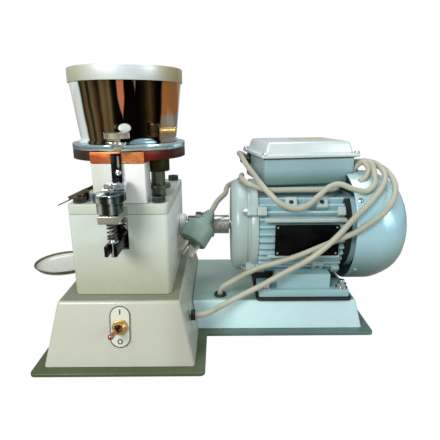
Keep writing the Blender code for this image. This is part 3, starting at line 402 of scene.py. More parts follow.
def leaning_block(low_box, low, high_box, high, open_sides=(), at=(0, 0, 0), turn=(0, 0, 0)):
    form = bmesh.new()
    bmesh.ops.create_cube(form, size=2.0)
    removed = [f for f in form.faces if tuple(round(c) for c in f.normal) in open_sides]
    bmesh.ops.delete(form, geom=removed, context="FACES_ONLY")
    for vert in form.verts:
        x0, y0, x1, y1 = high_box if vert.co.z > 0 else low_box
        level = high if vert.co.z > 0 else low
        vert.co = Vector((x1 if vert.co.x > 0 else x0, y1 if vert.co.y > 0 else y0, level)) * MM
    return link("leaning", mesh_of("leaning", form), at, turn)


TURNS = {"Z": (0, 0, 0), "X": (0, 90, 0), "Y": (-90, 0, 0)}


def turned(profile, at=(0, 0, 0), axis="Z", sides=64, ring=False, turn=None):
    mesh = bpy.data.meshes.new("turned")
    points = [(radius * MM, 0, height * MM) for radius, height in profile]
    edges = [(i, i + 1) for i in range(len(points) - 1)]
    if ring:
        edges.append((len(points) - 1, 0))
    mesh.from_pydata(points, edges, [])
    obj = link("turned", mesh, at, TURNS[axis] if turn is None else turn)
    screw = obj.modifiers.new("Turn", "SCREW")
    screw.steps = screw.render_steps = sides
    screw.use_merge_vertices = True
    screw.merge_threshold = 0.000005
    return obj


def rod(radius, length, at, axis="Z", sides=48, turn=None, edge=0.0):
    """A cylinder, with its two rims rounded when edge is given."""
    profile = [(0, length), *arc(radius - edge, length - edge, edge, 90, 0)]
    profile += [*arc(radius - edge, edge, edge, 0, -90), (0, 0)]
    return turned(profile, at, axis, sides, turn=turn)


def arc(x, y, radius, start, end, steps=3):
    if not radius:
        return [(x, y)]
    angles = [math.radians(start + (end - start) * i / steps) for i in range(steps + 1)]
    return [(x + radius * math.cos(a), y + radius * math.sin(a)) for a in angles]


def tube(outer, inner, length, at, axis="Z", sides=48, turn=None, edge=0.0):
    profile = [(inner, length), *arc(outer - edge, length - edge, edge, 90, 0)]
    profile += [*arc(outer - edge, edge, edge, 0, -90), (inner, 0)]
    return turned(profile, at, axis, sides, ring=True, turn=turn)


def circle(radius, sides=48, centre=(0, 0)):
    steps = [2 * math.pi * i / sides for i in range(sides)]
    return [(centre[0] + radius * math.cos(a), centre[1] + radius * math.sin(a)) for a in steps]


def rounded(corners, radius, steps=6):
    outline = []
    for i, corner in enumerate(corners):
        point = Vector(corner)
        back = (Vector(corners[i - 1]) - point).normalized()
        ahead = (Vector(corners[(i + 1) % len(corners)]) - point).normalized()
        if back.x * ahead.y - back.y * ahead.x > 0:
            outline.append(corner)
            continue
        centre = point + (back + ahead) * radius
        for step in range(steps + 1):
            angle = math.pi / 2 * step / steps
            outline.append(tuple(centre + (-ahead * math.cos(angle) - back * math.sin(angle)) * radius))
    return outline


def rectangle(x0, y0, x1, y1, radius=0.0, steps=6):
    corners = [(x0, y0), (x1, y0), (x1, y1), (x0, y1)]
    return rounded(corners, radius, steps) if radius else corners


def gear(radius, depth, teeth, top=(0.3, 0.6), foot=0.9):
    outline = []
    for tooth in range(teeth):
        shares = ((0.0, radius - depth), (top[0], radius), (top[1], radius), (foot, radius - depth))
        for share, reach in shares:
            angle = 2 * math.pi * (tooth + share) / teeth
            outline.append((reach * math.cos(angle), reach * math.sin(angle)))
    return outline


def sheet(outlines, low, high, at=(0, 0, 0), turn=(0, 0, 0)):
    curve = bpy.data.curves.new("outline", "CURVE")
    curve.dimensions = "2D"
    curve.fill_mode = "BOTH"
    curve.extrude = (high - low) / 2 * MM
    for outline in outlines:
        spline = curve.splines.new("POLY")
        spline.points.add(len(outline) - 1)
        for point, (x, y) in zip(spline.points, outline):
            point.co = (x * MM, y * MM, 0, 1)
        spline.use_cyclic_u = True
    guide = bpy.data.objects.new("outline", curve)
    form = bmesh.new()
    form.from_mesh(bpy.data.meshes.new_from_object(guide))
    bpy.data.objects.remove(guide)
    bmesh.ops.remove_doubles(form, verts=form.verts, dist=0.000001)
    bmesh.ops.dissolve_limit(form, angle_limit=0.001, verts=form.verts, edges=form.edges)
    bmesh.ops.translate(form, vec=(0, 0, (high + low) / 2 * MM), verts=form.verts)
    bmesh.ops.recalc_face_normals(form, faces=form.faces)
    return link("sheet", mesh_of("sheet", form), at, turn)


def smooth_path(points, steps=6):
    points = [Vector(p) for p in points]
    ends = [2 * points[0] - points[1]] + points + [2 * points[-1] - points[-2]]
    path = []
    for a, b, c, d in zip(ends, ends[1:], ends[2:], ends[3:]):
        for step in range(steps):
            t = step / steps
            path.append(
                0.5 * (2 * b + (c - a) * t + (2 * a - 5 * b + 4 * c - d) * t**2 + (3 * b - a - 3 * c + d) * t**3)
            )
    return path + [points[-1]]


def wire(path, radius, resolution=6):
    curve = bpy.data.curves.new("wire", "CURVE")
    curve.dimensions = "3D"
    curve.bevel_depth = radius * MM
    curve.bevel_resolution = resolution
    curve.use_fill_caps = True
    spline = curve.splines.new("POLY")
    spline.points.add(len(path) - 1)
    for point, place in zip(spline.points, path):
        point.co = (*(Vector(place) * MM), 1)
    return link("wire", curve)


def settle(obj):
    """The object's shape with its modifiers applied, as a plain mesh in the row frame."""
    bpy.context.view_layer.update()
    graph = bpy.context.evaluated_depsgraph_get()
    mesh = bpy.data.meshes.new_from_object(obj.evaluated_get(graph))
    mesh.transform(obj.matrix_world)
    form = bmesh.new()
    form.from_mesh(mesh)
    bmesh.ops.remove_doubles(form, verts=form.verts, dist=0.000001)
    form.to_mesh(mesh)
    form.free()
    new = link("settled", mesh)
    bpy.data.objects.remove(obj)
    return new


def used_up(*objs):
    for obj in objs:
        bpy.data.objects.remove(obj)


def cut(obj, *cutters):
    return combine(obj, "DIFFERENCE", cutters)


def join(obj, *others):
    return combine(obj, "UNION", others)


def combine(obj, operation, others):
    obj = settle(obj)
    others = [settle(other) for other in others]
    for other in others:
        modifier = obj.modifiers.new("Boolean", "BOOLEAN")
        modifier.operation = operation
        modifier.solver = "EXACT"
        modifier.object = other
    result = settle(obj)
    used_up(*others)
    return result


def group(*objs):
    """Several shapes as one mesh, without a Boolean, for shapes that merely touch or nest."""
    objs = [settle(o) for o in objs]
    form = bmesh.new()
    for obj in objs:
        form.from_mesh(obj.data)
    used_up(*objs)
    return link("group", mesh_of("group", form))


def soften(obj, width, segments=3, angle=30):
    obj = settle(obj)
    bevel = obj.modifiers.new("Soften", "BEVEL")
    bevel.width = width * MM
    bevel.segments = segments
    bevel.limit_method = "ANGLE"
    bevel.angle_limit = math.radians(angle)
    bevel.harden_normals = False
    return settle(obj)


def thicken(obj, thickness=3.0):
    """Turns an open surface into sheet metal, growing inwards."""
    solid = obj.modifiers.new("Sheet", "SOLIDIFY")
    solid.thickness = thickness * MM
    solid.offset = -1.0
    return obj


def piece(name, obj, finish, body="frame_body", replaces=(), sharp=35):
    """Names a finished shape and fixes it to the frame."""
    obj = settle(obj)
    obj.name = name
    obj.data.name = name
    obj.data.materials.clear()
    obj.data.materials.append(FINISH[finish])
    obj.data.shade_smooth()
    obj.data.set_sharp_from_angle(angle=math.radians(sharp))
    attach(obj, body)
    if replaces:
        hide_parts(*([replaces] if isinstance(replaces, str) else replaces))
    return obj


def dress(node, finish, sharp=35):
    """A CAD node that is shown as it is gets its real material."""
    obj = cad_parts[node]
    obj.data.materials.clear()
    obj.data.materials.append(FINISH[finish])
    obj.data.shade_smooth()
    obj.data.set_sharp_from_angle(angle=math.radians(sharp))


# ---------------------------------------------------------------- base

PEDESTAL_TOP = 68.5
TOP_BOX = (-66.0, -72.0, 54.5, 125.0)
SLOPE = 0.225
PLATFORM_TOP = 36.6
PLATFORM_BOX = (62.0, -8.0, 251.5, 125.0)
SWITCH_X, SWITCH_Z = -4.2, 43.6


def grown(box, reach):
    x0, y0, x1, y1 = box
    return (x0 - reach, y0 - reach, x1 + reach, y1 + reach)


def wall_x(height):
    return TOP_BOX[2] + (PEDESTAL_TOP - height) * SLOPE


def switch_point(out, across=0.0, up=0.0):
    lean = math.atan(SLOPE)
    y = TOP_BOX[1] - (PEDESTAL_TOP - SWITCH_Z) * SLOPE
    return (
        SWITCH_X + across,
        y - out * math.cos(lean) + up * math.sin(lean),
        SWITCH_Z + out * math.sin(lean) + up * math.cos(lean),
    )


SWITCH_TURN = (90 - math.degrees(math.atan(SLOPE)), 0, 0)


def make_base():
    foot = 3.0
    low = grown(TOP_BOX, (PEDESTAL_TOP - foot) * SLOPE)
    platform_low = grown(PLATFORM_BOX, (PLATFORM_TOP - foot) * SLOPE)
    corners = [
        (low[0] - 10, low[1] - 10), (low[2] + 10, low[1] - 10), (low[2] + 10, platform_low[1] - 10),
        (platform_low[2] + 10, platform_low[1] - 10), (platform_low[2] + 10, low[3] + 4), (low[0] - 10, low[3] + 4),
    ]
    plate = soften(sheet([rounded(corners, 5.0)], 0, 4.0), 0.8)
    piece("base_plate_painted", plate, "plate_paint", replaces="base_plate")

    level = ((-150, -150, -10), (350, 200, 4.3))  # everything below the base plate's top
    shell = leaning_block(low, foot, TOP_BOX, PEDESTAL_TOP, {(0, 0, -1)})
    shell = thicken(soften(shell, 3.6, 6))
    shell = cut(shell, block(*level), rod(4.6, 20, (wall_x(38) - 10, -45, 38), "X"))
    piece("pedestal_painted", shell, "base_paint", replaces="pedestal")

    left_low, left_top = wall_x(foot) + 0.3, wall_x(PLATFORM_TOP - 3) + 0.3
    deck = leaning_block(
        (left_low, *platform_low[1:]), foot, (left_top, *PLATFORM_BOX[1:]), PLATFORM_TOP, {(0, 0, -1), (-1, 0, 0)}
    )
    deck = thicken(soften(deck, 3.0, 6))
    deck = cut(deck, block(*level), rod(4.6, 20, (94.5, 4.5, PLATFORM_TOP - 10)))
    piece("motor_platform_painted", deck, "platform_paint", replaces="motor_platform")

    ring = soften(tube(5.8, 4.1, 4.5, (wall_x(38) + 1.9, -45, 38), "X"), 0.5)
    head = block((-2.0, -2.4, -2.0), (2.0, 2.4, 2.0), (wall_x(38) + 4.2, -48.6, 41.6), (30, 0, 0))
    piece("cable_tie", join(ring, head), "rubber", replaces="cable_clip")
    grommet = soften(tube(7.2, 4.2, 3.0, (94.5, 4.5, PLATFORM_TOP + 0.3)), 1.1, 4)
    piece("cable_grommet_round", grommet, "rubber", replaces="cable_grommet")


def make_switch():
    turn = SWITCH_TURN
    plate = sheet([rectangle(-10.3, -21, 10.3, 21, 10.2, 16), circle(6.3)], 0.3, 1.0, switch_point(0), turn)
    piece("switch_plate_painted", plate, "oval_paint", replaces="switch_plate")
    outer, inner = rectangle(-10.1, -20.8, 10.1, 20.8, 10.0, 16), rectangle(-9.3, -20, 9.3, 20, 9.2, 16)
    piece("switch_plate_border", sheet([outer, inner], 1.0, 1.25, switch_point(0), turn), "black_mark")
    bar = sheet([rectangle(-0.55, 12.3, 0.55, 17.3)], 1.0, 1.25, switch_point(0), turn)
    off = sheet([circle(2.6, 32, (0, -14.8)), circle(1.7, 32, (0, -14.8))], 1.0, 1.25, switch_point(0), turn)
    piece("switch_marks", group(bar, off), "black_mark")

    washer = tube(7.6, 6.0, 0.5, switch_point(1.1), turn=turn)
    nut = sheet([circle(8.0, 6), circle(5.7)], 0, 2.9, switch_point(1.5), turn)
    cone = turned([(0, 2.9), (6.6, 2.9), (9.2, 1.4), (9.2, 0), (0, 0)], switch_point(1.5), turn=turn)
    nut = soften(combine(nut, "INTERSECT", [cone]), 0.2)
    thread = [(4.3, 0)]
    for i in range(9):
        thread += [(5.7, 0.15 + i * 0.8), (5.2, 0.5 + i * 0.8)]
    thread += [(5.0, 7.4), (4.3, 7.4)]
    bush = turned(thread[::-1], switch_point(0.4), ring=True, turn=turn)
    piece("switch_nut_brass", group(washer, nut, bush), "brass", replaces="switch_nut")
    bat = [(0, 22), (1.5, 21.8), (2.4, 21.1), (2.8, 20), (2.7, 16), (1.7, 5), (1.6, 0.6), (0, 0.6)]
    lever = turned(bat, switch_point(1.0), turn=(turn[0] + 11.0, 0, -12.0))
    piece("toggle_bat", lever, "copper", "toggle", "toggle_lever", sharp=60)


# ---------------------------------------------------------------- gear case

CASE = (-52.0, -58.0, 45.0, 90.0)
CASE_LOW, CASE_HIGH, LID_LOW, LID_HIGH = 68.8, 152.0, 152.3, 162.3
COLUMN = (-25.6, -56.5, 24.6, -28.0)
PUNCH_Y, FEED_X, FEED_Y = -37.0, 30.4, -15.0
AXIS_Y, AXIS_Z = 55.0, 110.0
CAM_X, CAM_Z = 4.0, 136.0


def make_case():
    x0, y0, x1, y1 = CASE
    case = soften(sheet([rectangle(x0, y0, x1, y1, 5.0, 8)], CASE_LOW, CASE_HIGH), 0.5, 2, 50)
    case = cut(
        case,
        block((x0 + 6, y0 + 6, CASE_LOW + 6), (x1 - 6, y1 - 6, CASE_HIGH + 5)),
        block((-11.5, y0 - 3, 117), (5.5, y0 + 10, 149.5)),
        rod(9.0, 20, (x1 - 12, AXIS_Y, AXIS_Z), "X"),
        rod(5.5, 20, (CAM_X, y1 - 12, CAM_Z), "Y"),
    )
    piece("gearbox_housing_painted", case, "case_paint", replaces="gearbox_housing")
    lid = soften(sheet([rectangle(x0, y0, x1, y1, 5.0, 8)], LID_LOW, LID_HIGH), 0.7, 3, 50)
    lid = cut(
        lid,
        block((x0 + 6, y0 + 6, LID_LOW - 2), (x1 - 6, y1 - 6, LID_LOW + 5.5)),
        rod(5.0, 30, (0, PUNCH_Y, LID_LOW - 5)),
        rod(7.8, 30, (FEED_X, FEED_Y, LID_LOW - 5)),
    )
    piece("gearbox_lid_painted", lid, "case_lid_paint", replaces="gearbox_lid")
    for side, x in (("left", x0 + 10), ("right", x1 - 10)):
        for end, y in (("front", y0 + 10), ("rear", y1 - 10)):
            name = f"lid_screw_{end}_{side}"
            head = soften(sheet([gear(6.3, 0.25, 40)], 0, 6.0), 0.4, 2, 60)
            head = cut(head, sheet([circle(3.6, 6)], 2.6, 8))
            head.location = Vector((x, y, LID_HIGH + 0.3)) * MM
            piece(name + "_head", head, "dark_steel", replaces=name)
    profile = [(6.6, 7.5), (11.5, 7.5), (12.6, 6.6), (14.0, 5.0), (14.0, 0), (6.6, 0)]
    flange = turned(profile, (x1 + 0.3, AXIS_Y, AXIS_Z), "X", ring=True)
    piece("side_bearing_flange", flange, "case_paint", replaces="side_bearing")

    x0, y0, x1, y1 = COLUMN
    column = soften(block((x0, y0, LID_HIGH + 0.3), (x1, y1, 201.0)), 0.9, 3)
    column = cut(column, rod(5.0, 60, (0, PUNCH_Y, 150)))
    piece("press_column_painted", column, "column_paint", replaces="press_column")


# ---------------------------------------------------------------- head


def make_head():
    x0, _, x1, y1 = COLUMN
    die = rod(57.5, 9.0, (0, 0, 202.6), sides=128, edge=0.5)
    die = join(die, soften(block((x0, -57.7, 201.3), (x1, y1, 211.6)), 0.4, 2))
    die = cut(
        die,
        rod(25.2, 20, (0, 0, 207.2)),
        rod(9.9, 20, (FEED_X, FEED_Y, 207.2)),
        rod(5.0, 40, (0, PUNCH_Y, 180)),
        rod(7.7, 40, (FEED_X, FEED_Y, 180)),
        rod(4.5, 40, (0, 0, 180)),
    )
    piece("die_plate_bronze", die, "bronze_plate", replaces="die_plate")
    ring = tube(57.5, 46.3, 6.0, (0, 0, 211.9), sides=128, edge=0.7)
    ring = join(ring, soften(block((-13, -47.6, 214.6), (13, -27, 217.8)), 0.4, 2))
    piece("hopper_ring_polished", ring, "ring_steel", replaces="hopper_ring")
    boss = tube(12.2, 7.8, 13.7, (FEED_X, FEED_Y, 188.6), edge=0.6)
    piece("feed_boss_turned", boss, "boss_bronze", replaces="feed_boss")
    collar = [(0, 208), (7.2, 208), (7.2, 175), (12, 175), (12.6, 174.4), (12.6, 171.1), (12, 170.5), (7.2, 170.5)]
    shaft = turned(collar + [(7.2, 124), (0, 124)], (FEED_X, FEED_Y, 0))
    shaft = join(
        shaft,
        sheet([gear(8.9, 1.5, 11)], 207.6, 211.2, (FEED_X, FEED_Y, 0)),
        sheet([gear(8.3, 1.1, 10)], 128, 144, (FEED_X, FEED_Y, 0)),
    )
    shaft = cut(shaft, rod(1.8, 6, (FEED_X - 4, FEED_Y - 14, 172.8), turn=(90, 0, -20)))
    piece("feed_shaft_turned", shaft, "dull_steel", "feed_train", "feed_shaft")


def make_hopper():
    shell = [
        (55.5, 276.5), (49.2, 224.0), (48.6, 221.6), (49.2, 220.6), (50.2, 220.2), (50.4, 219.8),
        (50.4, 218.2), (46.9, 218.2), (46.9, 220.0), (54.2, 276.5),
    ]
    hopper = turned(shell, sides=160, ring=True)
    hopper = join(hopper, soften(block((29.5, -46, 224), (37.8, -38.6, 237)), 1.2, 3))
    piece("hopper_mirror", hopper, "mirror_hopper", "hopper_body", "hopper")
    barrel = [(0, 13.5), (2.2, 13.5), (2.2, 15.0), (3.3, 15.0), (3.5, 14.7)]
    for i in range(12):
        barrel += [(3.5, 13.6 - i), (3.3, 13.3 - i), (3.3, 12.9 - i)]
    barrel += [(3.5, 1.2), (3.5, 0.2), (3.2, 0), (0, 0)]
    screw = turned(barrel, (38.3, -42.3, 230), "X")
    piece("thumb_screw_barrel", screw, "brass", "thumb_screw_body", "thumb_screw")
    bore = rod(2.1, 0.3, (51.8, -42.3, 230), "X")
    piece("thumb_screw_bore", bore, "shadow", "thumb_screw_body")

    cap = [
        (0, 288.5), (54.4, 288.5), *arc(55.6, 287.3, 1.2, 90, 0, 5), (56.8, 275.6), (56.6, 275.1),
        (56.2, 275.0), (55.8, 275.0), (55.8, 277.0), (51.5, 277.0), (51.5, 286.3), (0, 286.3),
    ]
    piece("hopper_lid_turned", turned(cap, sides=160), "turned_lid", "lid_body", "hopper_lid")


def make_dial():
    holes = []
    for i in range(8):
        angle = -math.pi / 2 + math.pi / 4 * i
        holes.append(circle(5.0, 32, (37 * math.cos(angle), 37 * math.sin(angle))))
    dial = soften(sheet([circle(45.7, 96), *holes], 212.2, 214.2), 0.3, 2, 60)
    dial = join(dial, sheet([gear(24.2, 1.6, 28)], 207.6, 213.0), rod(4.0, 10, (0, 0, 203.0)))
    piece("feed_dial_fine", dial, "polished_steel", "dial_train", "feed_dial")
    hub = [(0, 240), (1.4, 239.8), (2.2, 239), (3.0, 234), (8.0, 222), (9.0, 214.5), (0, 214.5)]
    agitator = turned(hub)
    arms = []
    for i in range(3):
        angle = 2 * math.pi * i / 3
        path = [(r * math.cos(angle), r * math.sin(angle), 221 - max(0, r - 26) * 0.35) for r in range(0, 37, 3)]
        arms.append(wire(path, 1.8))
    piece("agitator_fine", join(agitator, *arms), "polished_steel", "dial_train", "agitator")
    punch = [(0, 205.4), (4.6, 205.4), (4.6, 151), (6.3, 151), (6.5, 150.8), (6.5, 148.4), (6.3, 148.2), (0, 148.2)]
    piece("lower_punch_fine", turned(punch, (0, PUNCH_Y, 0)), "chrome", "punch", "lower_punch")


# ---------------------------------------------------------------- front lift mechanism

KNOB_X, KNOB_Y = 3.0, -66.0
ROD_X, ROD_Y = -3.0, -84.0
LEVER_X = -3.0


def make_adjuster():
    x, y = KNOB_X, KNOB_Y
    arm = soften(block((x - 6.5, y - 4, 218.2), (x + 6.5, -50.4, 221.4)), 0.5, 2)
    arm = join(arm, rod(5.6, 6.2, (x, y, 215.0), edge=0.4))
    arm = cut(arm, rod(3.3, 30, (x, y, 200)))
    piece("knob_bracket_polished", arm, "polished_steel", replaces="knob_bracket")
    head = soften(sheet([gear(11.3, 0.4, 72)], 224.6, 229.5, (x, y, 0)), 0.5, 2, 60)
    head = join(head, turned([(0, 229.7), (9.4, 229.7), (9.8, 229.2), (9.8, 228), (0, 228)], (x, y, 0)))
    neck = rod(2.9, 13.0, (x, y, 212.4), edge=0.3)
    piece("adjust_knob_knurled", join(head, neck), "nickel", "knob", "adjust_knob", sharp=25)


def make_lift():
    outer, slot = rectangle(-6.0, 180, 3.5, 210.6, 0.6, 3), rectangle(-0.7, 197, 1.7, 208.6, 1.15, 8)
    strip = soften(sheet([outer, slot], 0, 1.6, (0, -58.1, 0), (90, 0, 0)), 0.2, 2, 60)
    piece("slide_strip_black", strip, "black_steel", "lift", "slide_strip")
    place = (0.5, -59.8, 192.9)
    screw = turned([(0, 2.0), (1.0, 2.0), (2.6, 1.2), (2.9, 0.4), (2.9, 0), (0, 0)], place, turn=(90, 0, 0))
    screw = cut(screw, block((-3, -0.35, 1.2), (3, 0.35, 3), place, (90, 0, 0)))
    piece("strip_screw", screw, "polished_steel", "lift")
    blade = sheet([rectangle(-0.3, 198, 1.4, 208)], 0, 0.4, (0, -58.2, 0), (90, 0, 0))
    piece("strip_slot_steel", blade, "polished_steel", "lift")

    clamp = soften(block((-8, -78, 179), (9.5, -60.1, 186)), 0.8, 3)
    clamp = join(clamp, soften(block((-8, -90, 179.2), (2, -72, 183)), 0.8, 3))
    clamp = cut(clamp, rod(2.7, 20, (ROD_X, ROD_Y, 170)), block((-12, -69.5, 170), (-3, -68.7, 190)))
    piece("clamp_block_polished", clamp, "chrome", "lift", "clamp_block")
    shape = [
        (0, 187.0), (3.2, 186.9), (4.0, 186.2), (4.0, 183.4), (2.3, 183.4), (2.3, 134.5), (4.7, 134.5),
        (5.0, 134.2), (5.0, 133.0), (4.7, 132.7), (2.5, 132.7), (2.5, 119.8), (2.2, 119.2), (1.7, 119), (0, 119),
    ]
    piece("lift_rod_polished", turned(shape, (ROD_X, ROD_Y, 0)), "chrome", "lift", "lift_rod")
    flange = sheet([lobed(14.6, 0.9, 9)], 171.4, 178.3, (ROD_X, ROD_Y, 0))
    flange = soften(flange, 0.7, 3, 50)
    barrel = [
        (0, 172), (11.8, 172), (11.8, 170.4), (11.3, 170.0), (11.3, 169.4), (11.8, 169.0), (11.8, 161.6),
        (11.4, 161.0), (10.8, 160.6), (0, 160.6),
    ]
    cup = join(flange, turned(barrel, (ROD_X, ROD_Y, 0), sides=96))
    cup = cut(cup, rod(2.7, 40, (ROD_X, ROD_Y, 150)))
    piece("adjust_cup_chrome", cup, "cup_chrome", "cup", "adjust_cup")
    guide = soften(block((-12, -95, 152.6), (6, -58.3, 160.2)), 1.0, 4)
    guide = cut(guide, rod(2.7, 20, (ROD_X, ROD_Y, 146)))
    piece("guide_block_machined", guide, "bare_steel", replaces="guide_block")

    radius, thick = 4.0, 0.75
    low, high, turns = 134.7 + thick, 152.3 - thick, 5.5
    count = int(turns * 32)
    coil = []
    for i in range(count + 1):
        share = i / count
        flat = share - math.sin(2 * math.pi * share) / (2 * math.pi) * 0.35
        angle = 2 * math.pi * turns * share
        coil.append(
            (radius * math.cos(angle) + ROD_X, radius * math.sin(angle) + ROD_Y, low + (high - low) * flat)
        )
    spring = settle(wire(coil, thick, 3))
    spring = piece("rod_spring_wire", spring, "dark_steel", replaces="rod_spring")
    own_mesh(spring)


def lobed(radius, depth, lobes, steps=12):
    """A round outline with shallow finger hollows."""
    outline = []
    for i in range(lobes * steps):
        angle = 2 * math.pi * i / (lobes * steps)
        reach = radius - depth * (0.5 + 0.5 * math.cos(lobes * angle)) ** 2
        outline.append((reach * math.cos(angle), reach * math.sin(angle)))
    return outline


def make_lever():
    left, right = LEVER_X - 5.8, LEVER_X + 5.8
    arm = soften(block((left, -94, 122), (right, -47, 132.2)), 1.0, 3)
    arm = join(
        arm,
        block((left, -50.5, 106), (right, -31, 125)),
        block((left, -33, 104), (right, 12, 113)),
        block((left, -2, 112), (right, 10, 121)),
    )
    slot = block((LEVER_X - 2.9, -98, 115), (LEVER_X + 2.9, -73, 140))
    arm = cut(arm, slot, rod(4.3, 40, (-24, -40, 114), "X"))
    piece("rocker_lever_black", arm, "black_steel", "rocker", "rocker_lever")
    pin = rod(3.9, 84.2, (-45.6, -40, 114), "X", edge=0.5)
    piece("lever_pivot_pin", pin, "bare_steel", replaces="lever_pivot")
    stop = rod(2.3, 9.3, (-4.5, -56, 143.5), "X", edge=0.4)
    stop = join(stop, rod(1.2, 16.6, (-11.3, -56, 143.5), "X"))
    piece("opening_pin", stop, "polished_steel")


# ---------------------------------------------------------------- outlet


def make_outlet():
    start, end = Vector((-31.5, -39, 174.5)), Vector((-85.5, 6, 148))
    along = (end - start).normalized()
    normal = -along.cross(Vector((-0.34, 0.92, -0.2))).normalized()
    across = normal.cross(along)
    turn = [math.degrees(a) for a in Matrix((along, across, normal)).transposed().to_euler()]
    length, half, thick, lip = (end - start).length, 7.0, 1.2, 3.0
    side, point = length * 0.5, 1.2  # how far the walls reach, and half the width of the tip
    outline = [(0, -half), (side, -half), (length, -point), (length, point), (side, half), (0, half)]
    floor = sheet([outline], -thick, 0, start, turn)
    walls = []
    for way in (-1, 1):
        low, high = sorted((way * half, way * (half - thick)))
        walls.append(block((0, low, -thick), (side, high, lip), start, turn))
    leg = block((-41.5, -40, LID_HIGH + 0.3), (-36.5, -34, 172))
    chute = soften(join(floor, *walls), 0.25, 2, 50)
    piece("chute_sheet", chute, "chute_steel", replaces="chute")
    piece("chute_leg", soften(leg, 0.4, 2), "black_steel")
    x, y, r = -88.2, 16.5, 35.5
    dish = [
        (0, 71.9), (r - 6.5, 71.9), (r - 5.0, 72.3), (r - 4.2, 73.2), (r - 1.7, 76.2), (r - 1.2, 76.8),
        (r - 0.6, 77.0), (r - 0.1, 76.7), (r, 76.3), (r - 0.3, 75.8), (r - 3.4, 72.2), (r - 4.6, 71.2),
        (r - 6.2, 70.9), (0, 70.9),
    ]
    tray = turned(dish, (x, y, 0), sides=128)
    piece("catch_tray_spun", tray, "tray_steel", "tray", "catch_tray", 60)
    arm = soften(sheet([rectangle(-104, y - 10, -53, y + 10, 4.0)], 68.8, 70.6), 0.3, 2, 50)
    piece("tray_bracket_strip", arm, "bare_steel", replaces="tray_bracket")


# ---------------------------------------------------------------- drive


def make_drive():
    axis = (0, AXIS_Y, AXIS_Z)
    near = [(16.0, 71), (16.0, 64.9), (15.6, 64.5), (11.2, 64.5), (11.2, 55), (10.7, 54.5), (6.3, 54.5), (6.3, 71)]
    near = cut(turned(near, axis, "X", ring=True), rod(1.8, 8, (59.5, AXIS_Y - 14, AXIS_Z), turn=(-90, 0, 0)))
    piece("coupling_case_jaw", near, "dark_steel", "drive_line", "coupling_case_half")
    disc = soften(sheet([gear(15.4, 1.2, 6)], 71.3, 77.7, axis, TURNS["X"]), 0.6, 3, 40)
    piece("coupling_spider", disc, "red_rubber", "drive_line", "coupling_disc")
    far = [
        (11.2, 106), (11.6, 105.6), (11.6, 88), (15.6, 86.9), (16.0, 86.4), (16.0, 78.4), (15.6, 78), (5.9, 78),
        (5.9, 106),
    ]
    far = cut(turned(far, axis, "X", ring=True), rod(1.8, 8, (97, AXIS_Y - 15, AXIS_Z), turn=(-90, 0, 0)))
    piece("coupling_motor_jaw", far, "bare_steel", "drive_line", "coupling_motor_half")
    for node, finish in (
        ("worm_shaft", "bare_steel"), ("motor_shaft", "bare_steel"), ("cooling_fan", "rubber"),
        ("cam_shaft", "bare_steel"), ("worm_wheel", "bronze"),
    ):
        dress(node, finish)


HOUSING_LEFT, HOUSING_RIGHT, COVER_LEFT, COVER_RIGHT = 139.0, 235.0, 245.3, 314.0


def motor_point(angle, radius):
    """A point round the motor's axis. The angle is in degrees above level, on the front side."""
    a = math.radians(angle)
    return AXIS_Y - radius * math.cos(a), AXIS_Z + radius * math.sin(a)


